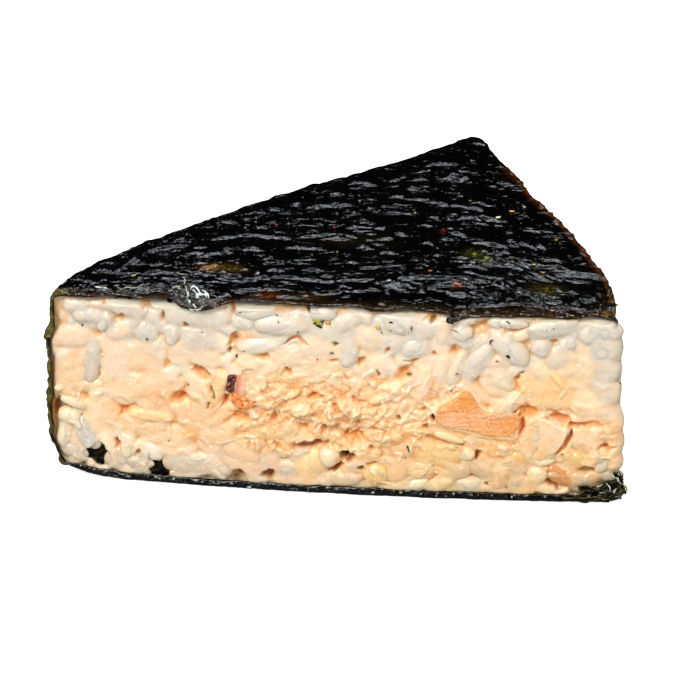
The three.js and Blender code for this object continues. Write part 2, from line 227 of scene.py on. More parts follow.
TONES = {
    "W": (225, 214, 198),   # white rice
    "G": (219, 208, 192),   # greyer rice
    "g": (221, 201, 176),   # beige translucent rice
    "h": (236, 204, 170),   # smooth beige
    "v": (219, 196, 170),   # wet grey rice
    "w": (240, 225, 204),   # cream white
    "C": (245, 219, 191),   # cream
    "c": (252, 224, 192),   # bright cream dressing
    "P": (248, 207, 168),   # peach
    "K": (250, 213, 177),   # warm peach
    "k": (251, 214, 166),   # yellower peach
    "p": (250, 217, 186),   # pinkish cream
    "y": (250, 223, 190),   # pale glow
    "Y": (252, 209, 158),   # golden
    "t": (216, 160, 110),   # tan
    "L": (250, 190, 122),   # light orange
    "S": (246, 160, 80),    # salmon flesh
    "T": (248, 176, 98),   # orange tint
    "R": (228, 142, 58),    # deep orange
    "O": (228, 158, 88),    # ochre orange
    "o": (222, 178, 126),   # ochre tan
    "V": (166, 134, 62),    # olive
    "b": (168, 106, 52),    # brown
    "D": (74, 38, 16),      # dark brown
    "N": (12, 9, 7),        # nearly black
    "M": (112, 26, 8),      # maroon skin
    "l": (186, 176, 48),    # leaf green
    "u": (238, 196, 146),   # between grains, high up
    "m": (244, 176, 106),   # between grains, in the filling
    "j": (196, 142, 92),   # between grains, low down
}
TONE = {k: linear(v) for k, v in TONES.items()}


# ------------------------------------------------------------------ meshes
def place(v):
    return (np.asarray(v, float) + OFFSET) / 1000


def volume(verts, faces):
    v = 0.0
    for f in faces:
        for k in range(1, f.shape[1] - 1):
            v += np.einsum("ij,ij->i", verts[f[:, 0]], np.cross(verts[f[:, k]], verts[f[:, k + 1]])).sum()
    return v


def build(name, verts, faces, colour=None, material=None, normals=None, depth=None):
    """verts in mm, faces as a list of (n, 3) and (n, 4) index arrays."""
    verts = place(verts)
    faces = [np.asarray(f, np.int64) for f in faces if len(f)]
    if volume(verts, faces) < 0:
        faces = [f[:, ::-1] for f in faces]
    me = bpy.data.meshes.new(name)
    me.vertices.add(len(verts))
    me.vertices.foreach_set("co", verts.astype(np.float32).ravel())
    total = sum(f.size for f in faces)
    me.loops.add(total)
    me.loops.foreach_set("vertex_index", np.concatenate([f.ravel() for f in faces]).astype(np.int32))
    count = sum(len(f) for f in faces)
    me.polygons.add(count)
    sizes = np.concatenate([np.full(len(f), f.shape[1]) for f in faces])
    me.polygons.foreach_set("loop_start", np.concatenate([[0], np.cumsum(sizes)[:-1]]).astype(np.int32))
    me.polygons.foreach_set("use_smooth", np.ones(count, bool))
    me.update(calc_edges=True)
    if colour is not None:
        at = me.color_attributes.new("tone", "FLOAT_COLOR", "POINT")
        rgba = np.ones((len(verts), 4), np.float32)
        rgba[:, :3] = np.clip(colour, 0, 1)
        at.data.foreach_set("color", rgba.ravel())
        me.color_attributes.active_color = at
    if depth is not None:
        at = me.attributes.new("soft", "FLOAT", "POINT")
        at.data.foreach_set("value", np.asarray(depth, np.float32))
    if normals is not None:
        full = np.zeros((len(verts), 3))
        for f in faces:
            for k in range(1, f.shape[1] - 1):
                fn = np.cross(verts[f[:, k]] - verts[f[:, 0]], verts[f[:, k + 1]] - verts[f[:, 0]])
                for c_ in (0, k, k + 1):
                    np.add.at(full, f[:, c_], fn)
        full /= np.maximum(np.linalg.norm(full, axis=1, keepdims=True), 1e-30)
        have = np.linalg.norm(normals, axis=1) > 0.5
        full[have] = normals[have]
        me.normals_split_custom_set_from_vertices(full.astype(np.float32))
    ob = bpy.data.objects.new(name, me)
    bpy.context.scene.collection.objects.link(ob)
    if material:
        me.materials.append(material)
    return ob


class Heap:
    """Many closed shapes gathered into one mesh."""

    def __init__(self):
        self.v, self.c, self.f, self.n = [], [], [], 0

    def add(self, verts, faces, colour):
        verts = np.asarray(verts, float).reshape(-1, 3)
        colour = np.broadcast_to(np.asarray(colour, float), verts.shape)
        faces = [np.asarray(f) for f in faces]
        out_ = volume(verts, faces) > 0
        for f in faces:
            self.f.append((f if out_ else f[:, ::-1]) + self.n)
        self.v.append(verts)
        self.c.append(colour)
        self.n += len(verts)

    def make(self, name, material):
        tri = [f for f in self.f if f.shape[1] == 3]
        quad = [f for f in self.f if f.shape[1] == 4]
        faces = [np.concatenate(s) for s in (tri, quad) if s]
        return build(name, np.concatenate(self.v), faces, np.concatenate(self.c), material)


def shell(front, back, k, mask=None):
    """A closed solid between a fine grid and a coarse one behind it.
    front is (rows, cols, 3); back has every k-th of its points; mask says which coarse cells exist."""
    R, C = front.shape[0] - 1, front.shape[1] - 1
    r, c = R // k, C // k
    if mask is None:
        mask = np.ones((r, c), bool)
    fid = np.arange((R + 1) * (C + 1)).reshape(R + 1, C + 1)
    bid = np.arange((r + 1) * (c + 1)).reshape(r + 1, c + 1) + fid.size
    fine = np.repeat(np.repeat(mask, k, 0), k, 1)
    j, i = np.nonzero(fine)
    quads = np.stack([fid[j, i], fid[j, i + 1], fid[j + 1, i + 1], fid[j + 1, i]], 1)
    J, I = np.nonzero(mask)
    backs = np.stack([bid[J, I], bid[J + 1, I], bid[J + 1, I + 1], bid[J, I + 1]], 1)
    tris = []

    def side(fs, b0, b1):  # fs in the direction that the front cell runs along this edge
        for m in range(len(fs) - 1):
            tris.append((fs[m + 1], fs[m], b0))
        tris.append((fs[-1], b0, b1))

    for J0, I0 in zip(J, I):
        a, b = J0 * k, I0 * k
        if J0 == 0 or not mask[J0 - 1, I0]:
            side(list(fid[a, b:b + k + 1]), bid[J0, I0], bid[J0, I0 + 1])
        if J0 == r - 1 or not mask[J0 + 1, I0]:
            side(list(fid[a + k, b:b + k + 1][::-1]), bid[J0 + 1, I0 + 1], bid[J0 + 1, I0])
        if I0 == 0 or not mask[J0, I0 - 1]:
            side(list(fid[a:a + k + 1, b][::-1]), bid[J0 + 1, I0], bid[J0, I0])
        if I0 == c - 1 or not mask[J0, I0 + 1]:
            side(list(fid[a:a + k + 1, b + k]), bid[J0, I0 + 1], bid[J0 + 1, I0 + 1])
    verts = np.concatenate([front.reshape(-1, 3), back.reshape(-1, 3)])
    faces = [np.array(tris), np.concatenate([quads, backs])]
    used = np.unique(np.concatenate([f.ravel() for f in faces]))
    renum = np.full(len(verts), -1)
    renum[used] = np.arange(len(used))
    return verts[used], [renum[f] for f in faces], used


# ------------------------------------------------------------------ what shows on the cut face
# Ovals in picture points: x y length width turn tone top real
# top is mm proud of the face, real says how far the grain stands clear as its own mesh.
GRAINS = """
74 308 36 17 -5 G .05 .5|61 317 18 15 30 P -.35 .1|88 317 40 17 -4 W .35 .9|104 323 20 13 62 W .3 .7
72 337 46 26 0 C .1 .3|55 341 16 20 80 P .0 .3|68 376 50 31 88 K .05 .25|92 360 50 17 86 G .3 .8
119 333 34 17 20 C -.05 .4|146 334 26 24 -40 W .3 .8|128 310 46 20 -14 G .1 .45|97 306 22 13 10 g -.1 .4
163 304 26 13 8 W .1 .45|154 318 15 14 80 W .05 .5|176 317 28 22 10 W .1 .4|172 336 24 16 85 W .2 .6
165 344 24 18 -40 P -.3 .1|117 362 42 34 80 C 0 .1|140 360 34 30 0 K -.1 .1|150 385 46 30 10 K -.05 .1
102 417 36 36 60 K .05 .2|96 392 22 16 70 c .05 .3|125 392 34 30 20 K 0 .1|50 392 13 11 60 c .15 .4
56 390 16 8 28 c .3 .5|73 403 27 8 -22 c .45 .9|69 418 24 16 -8 c .35 .8|77 424 14 7 -60 c .4 .8
64 434 32 15 80 c .2 .6|87 437 38 21 -60 G .3 .8|91 446 14 12 -60 w .35 .6|74 453 34 19 -12 g .1 .8
106 442 28 15 -70 c .1 .4|113 462 27 20 -10 v .1 .6|128 445 30 16 80 c .25 .7|141 465 32 18 -14 g .1 .8
152 453 26 20 -38 w .35 .8|150 417 44 11 -8 k .2 .5|152 430 38 24 0 p 0 .2|135 428 24 20 40 P 0 .2
172 447 30 26 0 K 0 .1|186 464 50 25 0 g .2 .8|218 471 30 22 -20 g .1 .6|196 318 36 24 -10 W .15 .3
216 322 34 22 20 W .1 .3|200 340 42 26 0 W .05 .2|219 344 28 22 -35 w .05 .3|180 354 30 26 0 C -.05 .1
205 359 40 22 -10 C -.05 .1|255 310 42 16 0 G .15 .7|243 325 26 15 -10 W .2 .7|250 336 24 12 0 P -.15 .2
282 327 57 21 -3 W .5 1|323 313 28 14 0 G .15 .7|330 334 36 25 10 W .1 .4|345 324 34 18 20 W .15 .5
259 347 46 18 5 w .3 .7|247 366 30 24 -60 c .05 .3|289 358 36 24 8 C .1 .3|273 373 30 26 0 C .0 .2
300 375 22 22 0 c -.05 .1|200 390 28 26 60 C 0 .2|219 389 36 13 70 k .25 .5|190 417 28 26 80 K 0 .2
216 439 42 18 -4 h .1 .5|190 436 20 14 0 T -.1 .1|241 465 46 25 -25 h .25 .8|289 472 28 20 0 g .05 .5
311 467 34 32 30 k .1 .4|332 457.5 20 21 0 w .72 1|317 350 40 30 0 C .05 .2|330 374 44 34 20 C 0 .15
360 390 50 26 10 K -.05 .1|367 320 12 14 0 G .1 .5|403 325 44 24 -6 W .3 .8|424 330 34 26 20 W .1 .4
443 331 34 21 82 C .15 .6|462 335 22 16 -8 W .4 1|369 339 34 28 0 C .15 .4|390 345 34 26 0 W .05 .3
349 356 28 19 74 W .35 .9|416 350 34 23 15 W .25 .6|440 350 22 30 0 C 0 .3|378 369 28 26 0 C .15 .4
424 384 40 20 86 p .25 .5|441 371 38 18 72 C .2 .5|456 371 44 18 64 C .3 .7|477 364 46 22 50 W .4 .85
388 396 40 10 23 c .4 .7|388 389 36 8 20 c .2 .4|300 410 30 18 -12 c .25 .5|328 414 24 8 80 c .35 .6
345 408 30 22 10 c .1 .3|358 412 24 16 -30 w .1 .3|302 441 30 14 0 C .05 .3|268 436 36 20 0 c .05 .2
290 430 28 18 20 C 0 .2|318 434 24 14 -40 c .1 .3|385 440 40 20 0 C .05 .2|380 425 30 14 -20 c .1 .3
410 432 40 16 8 c .15 .4|405 450 34 18 0 h 0 .2|437 457 54 29 -5 k .15 .4|449 438 31 9 -18 c .5 1
468 456 14 12 0 w .4 .8|481 472 32 18 -28 v .2 .7|443 484 26 15 20 c .2 .7|415 487 28 12 10 w .2 .6
468 487 30 16 0 G .25 .8|347 481 34 14 4 v .25 .9|400 470 36 30 60 h .1 .3|420 473 34 24 0 h .05 .3
374 478 30 24 0 k .1 .4|500 477 34 26 70 h .1 .4|520 483 16 20 80 g .0 .4|537 477 22 19 0 c .35 .85
562 478 40 21 -27 t .15 .7|580 481 24 15 -10 g .2 .8|575 460 28 20 0 Y .05 .3|613 468 20 17 60 W .1 .5
615 459 18 22 80 C .1 .5|495 449 40 22 -8 c .1 .3|519 460 26 16 0 Y -.05 .1|545 463.5 20 7 12 w .2 .6
585 443 30 24 -20 p .1 .4|611 430 28 28 0 p .1 .4|603 432 20 7 -55 C .2 .4|616 446 18 24 80 p .1 .5
513 325 30 10 -6 W .35 .9|550 331 62 20 9 G .3 .95|521 337 16 11 20 C .15 .5|509 350 50 24 -42 W .5 1
542 350 22 20 -20 W .4 .9|567 347 26 19 30 W .2 .7|558 362 28 21 0 W .15 .5|593 337 32 24 10 W .2 .6
611 332 26 22 0 W .2 .6|602 352 34 26 0 W .1 .4|613 352 22 26 85 W .25 .7|609 373 28 30 80 W .15 .5
586 368 40 25 88 y .05 .3|609 397 30 28 0 W .15 .5|502 383 28 23 -60 C .25 .6|509 405 38 20 35 p .35 .75
532 393 42 22 -62 Y .2 .4|557 394 36 40 80 Y .1 .15|559 382 20 6 -47 Y .28 .45|585 404 30 34 80 y .1 .2
610 415 28 24 60 W .1 .4|590 424 20 12 0 L -.1 .1|540 372 26 18 -30 y .05 .3|566 372 24 16 40 y .05 .3
"""
# Hollows between them: x y length width turn tone depth. The dark-brown, brown and black tones (D, b, N) are painted
# shade in the gaps and under the grains.
HOLLOWS = """
120 319 11 7 25 O .8|98 336 8 6 0 o .6|95 376 12 7 60 O .7|145 306 10 10 0 o .5|104 303 5 7 0 O .4
162 317 11 3.5 85 O .7|185.5 327 6 6 45 V .6|233 311 14 6 -80 O .9|238 316 5 3 0 D .6|284 311 24 8 -5 o .6
303 311 16 8 0 o .4|308 313 7 2.5 -80 D .4|289 342 14 4 35 o .6|302 342 14 4 -30 o .6|232 341 20 8 58 O .9
229.5 351 7 5 60 b .5|264 359 13 7 -10 o .5|288 373 11 6 -60 O .7|286 369.5 5 3 -20 D .4|201 375 22 8 -33 R .9
207 377 6 4 -30 D .5|179 398.5 15 10 10 R 1.1|212 395 16 3 -80 V .5|209 406 8 3 60 V .4|225 402 15 5 60 O .7
58.5 410 24 17 -42 R 1.6|57 412 12 7 -40 O .5|80 421 12 3 75 D .6|95.5 456 22 19 0 N 2.4|117 444 11 4 85 O .8|137 455 10 4 70 o .6
160 470 20 27 0 N 2.6|123 413 12 9 60 O .6|239 475.5 14 8 -20 V 1.0|267 476 14 9 0 b .8|310 446 36 8 6 b .8
332 458 26 25 0 k .7|345 457 12 11 60 D 1.2|350 461 14 5 40 b .8|335 470 20 5 20 b .8|361 470 8 7 0 V .8|430 480 16 5 35 D .7|466 482 12 6 0 b .6|390 480 14 5 10 R .6|371 467 12 6 -20 R .6|540 458 14 6 -25 R .5|315 398 17 7 5 O .6
273 418 10 5 80 o .6|240 419 11 20 80 S .6|280 417 9 4 80 o .5|302 427 9 8 -40 O .7|324 430 14 6 75 O .7|337 411 9 10 60 O .5
354 400 7 4 0 O .4|371 449 6 5 0 O .5|345 309.5 11 4 0 O .7|345 309 6 2 0 D .4|401 311 26 6 0 o .6
431 319 15 7 15 O .7|433 321 7 5 0 V .5|484.5 350 6 5 0 R .6|482 331 28 18 0 o .6|361 364 14 5 65 o .6
388 351.5 5.5 5 0 R .7|334 362 10 4 0 o .5|336 345 7 4 0 V .5|411 362.5 14 2.5 0 o .4|434.5 355 6 5 0 O .6
455 352 13 9 25 o .6|404 376 20 13 10 O .4|408 378 8 3 10 V .5|378 374 8 3.5 -80 V .4|355 440 22 13 0 L .5
346 437 5 5 0 R .5|361 437 6 5 0 R .5|377 429 12 4 0 O .5|398 418 6 3 -20 V .4|433 418 5 7 0 D .9
424 411 8 5 20 o .4|425 428 9 6 -40 V .4|444 443 20 5 3 O .6|459 445 9 3 -30 D .6|477 457 10 6 80 b .7
458 463 10 6 -45 O .6|429 479 12 3.5 35 N .8|422 487 8 4 10 D .8|471 480 9 2.5 -10 D .5|490 486 9 4 -15 D .6
505.5 488 2.5 6 10 N .6|382 470 6 5 0 O .5|386 477 4 6 0 O .4|518 329 30 6 18 o .6|526 346 10 9 0 o .3
555 345 10 9 0 O .7|517.5 379 6 4 0 R .6|521 374 6 3 20 V .3|527 414.5 24 9 8 S 1.0|519 409 14 6 -20 O .7|521.5 428 20 6 84 S 1.1
515 413 7 4 20 b .5|560 420.5 22 9 -20 S 1.0|575 427 15 6 -5 S .8|588 426 24 7 -3 R .6|549 420 7 2.4 -30 R .4|571.5 427.5 8 4.5 62 R 1.0
568 440 24 5 62 R 1.2|559 452 12 4 50 R .7|602 450 15 9 15 R 1.1|598 452 6 4 30 b .5|585 472 17 6 -8 V .7|553 485 24 8 -20 b .8
619 385 5 3 -40 N .5
"""
# Soft patches of colour only: x y length width turn tone strength
TINTS = """
205 322 80 44 0 G .55|120 318 120 34 0 G .35|90 350 30 60 0 G .3|190 345 60 40 0 g .35|400 345 120 30 0 G .3|300 350 70 24 0 G .3
162 400 44 28 0 T .5|190 434 34 20 0 T .35|217 418 44 30 0 T .3|295 386 52 26 0 L .45|270 388 28 16 0 L .45
66 375 34 40 0 T .12|140 369 18 7 -20 T .4|75 356 16 6 -10 T .35|492 395 20 26 60 T .3|565 372 60 40 0 Y .3
500 440 60 20 0 P .2|330 420 150 50 0 K .25|520 462 26 14 0 T .3|594 366 5 34 90 Y .5|571 368 6 26 85 T .3
612 408 18 12 0 L .35|260 452 40 14 -12 S .35|88 456 10 12 0 b .45|154 467 10 12 0 b .45|384 476 16 14 0 T .4
352 438 26 14 0 T .35|180 408 30 30 0 T .2|540 440 60 50 0 P .1|300 345 60 20 0 P .15|404 374 24 18 0 T .35
"""


def rows(text):
    out = []
    for item in text.replace("\n", "|").split("|"):
        f = item.split()
        if f:
            out.append([float(q) if q not in TONES else q for q in f])
    return out


def zone(px, py):
    """Tone and height of the packing that no listed oval covers."""
    if py < 344 or px > 596:
        return ("W", "G", "W")[int(px * 7 + py) % 3]
    if py < 376:
        return ("C", "w", "C")[int(px * 5 + py) % 3]
    if py < 452:
        return ("c", "K", "C", "p")[int(px * 3 + py) % 4]
    return ("g", "h", "C", "g")[int(px * 3 + py) % 4]


REAL = 0.6           # grains at least this distinct are meshes of their own
grains = []          # dicts in mm on the cut face
for px, py, ln, wd, an, tone, top, real in rows(GRAINS):
    x, z, la, lb, a = oval(px, py, ln, wd, an)
    if py > 455:                             # the lowest row stands clear of the core
        real, top = max(real, 0.6), max(top, 0.05)
    grains.append(dict(x=x, z=z, la=la, lb=lb, a=a, tone=TONE[tone], top=top, real=real, listed=True))
hollows = []
for px, py, ln, wd, an, tone, depth in rows(HOLLOWS):
    x, z, la, lb, a = oval(px, py, ln, wd, an)
    hollows.append(dict(x=x, z=z, la=la, lb=lb, a=a, tone=TONE[tone], depth=depth))


SOAK = ((335, 415, 95, 48, 0.72), (500, 482, 130, 26, 1.2), (400, 482, 80, 18, 0.8), (572, 400, 60, 44, 0.45), (480, 420, 60, 26, 0.8),
        (160, 402, 70, 36, 0.45), (80, 375, 40, 40, 0.3), (604, 445, 34, 26, 0.6), (250, 440, 60, 26, 0.5), (440, 440, 120, 26, 0.6), (530, 468, 90, 24, 0.5), (470, 455, 60, 20, 0.35))


def soaked(X, Z):
    """How far the dressing has coloured the rice: a factor on the tone."""
    k = 0.0
    for px, py, rx, ry, amount in SOAK:
        x0, z0 = (float(c) for c in on_cut_near(float(px), float(py)))
        k = k + amount * np.exp(-((X - x0) / (rx / 6.76)) ** 2 - ((Z - z0) / (ry / 5.97)) ** 2)
    k = np.clip(k, 0, 1.25) * (0.85 + 0.3 * perlin(X / 2.6, Z / 2.6, 6.6))
    return mix(np.ones(3), np.array([1.01, 0.905, 0.735]), k[..., None])


def local(g, x, z):
    c, s = math.cos(g["a"]), math.sin(g["a"])
    dx, dz = x - g["x"], z - g["z"]
    return (dx * c + dz * s) / g["la"], (dz * c - dx * s) / g["lb"]


def inside(g, x, z, grow=1.0):
    a, b = local(g, x, z)
    return a * a + b * b < grow * grow


# more grains wherever the face would be bare
for _ in range(2600):
    px, py = rng.uniform(48, 622), rng.uniform(300, 494)
    x, z = (float(q) for q in on_cut_near(px, py))
    if not (-41.2 < x < 42.0 and 1.2 < z < 29.3):
        continue
    if any(inside(g, x, z, 0.82) for g in grains) or any(inside(h, x, z, 1.25) for h in hollows):
        continue
    white = py < 350 or py > 455 or px > 590
    ln, wd = (rng.uniform(26, 44), rng.uniform(14, 20)) if white else (rng.uniform(16, 34), rng.uniform(10, 18))
    x, z, la, lb, a = oval(px, py, ln, wd, rng.uniform(-60, 60))
    grains.append(dict(x=x, z=z, la=la, lb=lb, a=a, tone=TONE[zone(px, py)] * rng.uniform(0.95, 1.0),
                       top=rng.uniform(-0.3, 0.0), real=0.55 if white else 0.3, listed=False))

# the grains that bulge round the soft right-hand end, each as high as its scallop on the outline
for py, half, q_, tone in ((323, 6, 42.6, "W"), (336, 8, 42.7, "W"), (354, 12, 42.7, "W"), (375, 9.5, 42.5, "W"), (396, 12, 42.7, "y"),
                           (419, 13, 42.6, "y"), (447, 12, 42.2, "C"), (466, 8, 42.2, "p"), (330, 9, 40.0, "W"), (346, 9, 40.2, "G"),
                           (366, 12, 40.0, "W"), (388, 10, 40.2, "W"), (408, 11, 40.0, "y"), (432, 12, 39.8, "p"), (456, 10, 39.9, "C")):
    z = float(on_cut_near(620.0, float(py))[1])
    grains.append(dict(x=q_, z=z, la=1.9 if q_ > 42 else 2.2, lb=half / 5.97 * 1.06, a=0.12 * (py % 5 - 2), tone=TONE[tone],
                       top=0.22 if q_ > 42 else 0.05, real=0.5, listed=False))

# the filling's outline on the cut face, as in the CAD
def fill_high(x):
    return mix(18.8, 16.4, smooth(x, -6, 12)) - 4.0 * smooth(-x, 18, 34)


def fill_low(x):
    return 5.4 + 2.0 * smooth(-x, 22, 36)


def lip_shape(x):
    """Where the torn top edge stands, in picture heights along the cut."""
    pts = [(44, 299), (56, 297), (80, 298), (100, 297.5), (112, 296), (130, 297), (150, 297.5), (165, 295.5),
           (172, 299), (180, 306), (190, 309), (200, 309.5), (212, 308), (230, 303), (240, 301), (250, 301.5), (262, 303),
           (280, 305.5), (300, 306), (320, 307.5), (350, 307.5), (360, 308), (370, 311), (374, 313.5), (385, 313),
           (392, 311.5), (402, 307.5), (412, 310.5), (425, 313.5), (437, 314.5), (446, 314), (451, 318), (455, 322.5),
           (460, 320), (466, 319), (475, 318.5), (490, 318), (525, 319), (560, 320.5), (580, 320), (590, 316.5), (600, 317.5),
           (607, 320), (616, 317), (624, 316)]
    px, py = np.array([p[0] for p in pts]), np.array([p[1] for p in pts])
    X, Zl = on_cut(px, py, out=0.9)
    return np.interp(x, X, Zl - THICK) + 0.22


# ---- the face as a grid whose lines follow the filling's outline
K = 4
N1, N2, N3 = 32, 68, 68                 # rows below, in and above the filling
C1, C2, C3 = 36, 396, 32                # columns left of it, in it and right of it
WRAP = 1.7                              # radius of the soft right-hand corner
EDGE_R = 40.8                           # where the soft corner starts
Q_LEFT, Q_RIGHT = -42.05, EDGE_R + WRAP * math.pi / 2
q = np.concatenate([np.linspace(Q_LEFT, FILL_L, C1 + 1)[:-1], np.linspace(FILL_L, FILL_R, C2 + 1)[:-1],
                    np.linspace(FILL_R, Q_RIGHT, C3 + 1)])
Z_LOW = 0.75
Z_TOP = THICK + np.minimum(lip_shape(np.minimum(q, 42.5)), 0.05) - 0.40      # up to the underside of the sheet's lip
zz = []
for qx, ztop in zip(q, Z_TOP):
    lo, hi = float(fill_low(np.clip(qx, FILL_L, FILL_R))), float(fill_high(np.clip(qx, FILL_L, FILL_R)))
    zz.append(np.concatenate([np.linspace(Z_LOW, lo, N1 + 1)[:-1], np.linspace(lo, hi, N2 + 1)[:-1],
                              np.linspace(hi, ztop, N3 + 1)]))
Zg = np.array(zz).T                     # rows x cols
Xg = np.broadcast_to(q, Zg.shape).copy()
ROWS, COLS = Zg.shape


def soften(field, times=1):
    for _ in range(times):
        for axis in (0, 1):
            f = np.moveaxis(field, axis, 0)
            g = f.copy()
            g[1:-1] = 0.25 * f[:-2] + 0.5 * f[1:-1] + 0.25 * f[2:]
            field = np.moveaxis(g, 0, axis)
    return field


GLOW = np.array([1.0, 0.90, 0.74])       # light that has passed through dressing-soaked rice


def near_outline(X, Z, points):
    """Signed distance to an outline given on the picture, positive inside."""
    xs, zs = on_cut_near([p_[0] for p_ in points], [p_[1] for p_ in points])
    best, hit = np.full(X.shape, 1e9), np.zeros(X.shape, bool)
    for a in range(len(xs)):
        b = (a + 1) % len(xs)
        dx, dz = xs[b] - xs[a], zs[b] - zs[a]
        t = np.clip(((X - xs[a]) * dx + (Z - zs[a]) * dz) / (dx * dx + dz * dz), 0, 1)
        best = np.minimum(best, np.hypot(X - xs[a] - t * dx, Z - zs[a] - t * dz))
        cross = ((zs[a] > Z) != (zs[b] > Z)) & (X < xs[a] + (Z - zs[a]) * dx / (dz if abs(dz) > 1e-9 else 1e-9))
        hit = hit ^ cross
    return np.where(hit, best, -best)


# the larger salmon pieces, outlined on the picture; the packing rises to meet them
BIG = [(434, 411), (440, 407), (447, 403), (457, 397), (463, 392), (468, 391), (474, 397), (479, 407), (488, 413.5), (502, 414), (521, 415.5),
       (520, 426), (518, 437), (508, 439), (490, 438), (475, 434.5), (460, 430), (447, 428.5), (437, 424), (434.5, 417)]
FOLD = [(522, 443), (526, 434), (530, 425), (535, 419.5), (543, 418.5), (549, 421), (558, 426), (566, 429.6), (568.6, 430.6), (568, 433),
        (565, 440), (561, 447), (555, 454), (547, 459), (538, 463), (530, 460), (524, 452)]


def cells_on(X, Z, size, seed, stretch=1.5):
    """Irregular torn cells: distance to the border, and a number and a tilt for each cell."""
    r = np.random.default_rng(seed)
    cx = X + 0.45 * perlin(X / 1.3, Z / 1.3, seed) + 0.16 * perlin(X / 0.5, Z / 0.5, seed + 1)
    cz = Z + 0.45 * perlin(X / 1.3, Z / 1.3, seed + 2) + 0.16 * perlin(X / 0.5, Z / 0.5, seed + 3)
    x0, x1, z0, z1 = X.min() - 2, X.max() + 2, Z.min() - 2, Z.max() + 2
    n = int((x1 - x0) * (z1 - z0) / (size * size))
    px, pz = r.uniform(x0, x1, n), r.uniform(z0, z1, n)
    ang = r.uniform(-1.2, 1.0, n)
    ca, sa, st_ = np.cos(ang), np.sin(ang), r.uniform(1.0, stretch, n)
    d1 = np.full(X.shape, 1e9)
    d2 = np.full(X.shape, 1e9)
    who = np.zeros(X.shape, int)
    for i in range(n):
        u, v = cx - px[i], cz - pz[i]
        d = np.hypot((u * ca[i] + v * sa[i]) / st_[i], (v * ca[i] - u * sa[i]) * st_[i])
        closer = d < d1
        d2 = np.where(closer, d1, np.minimum(d2, d))
        d1 = np.where(closer, d, d1)
        who = np.where(closer, i, who)
    tx, tz, lift, pick = r.normal(0, 0.30, n), r.normal(0.16, 0.26, n), r.uniform(-0.22, 0.28, n), r.uniform(0, 1, n)
    plane = lift[who] + tx[who] * (cx - px[who]) + tz[who] * (cz - pz[who])
    return d2 - d1, plane, pick[who]


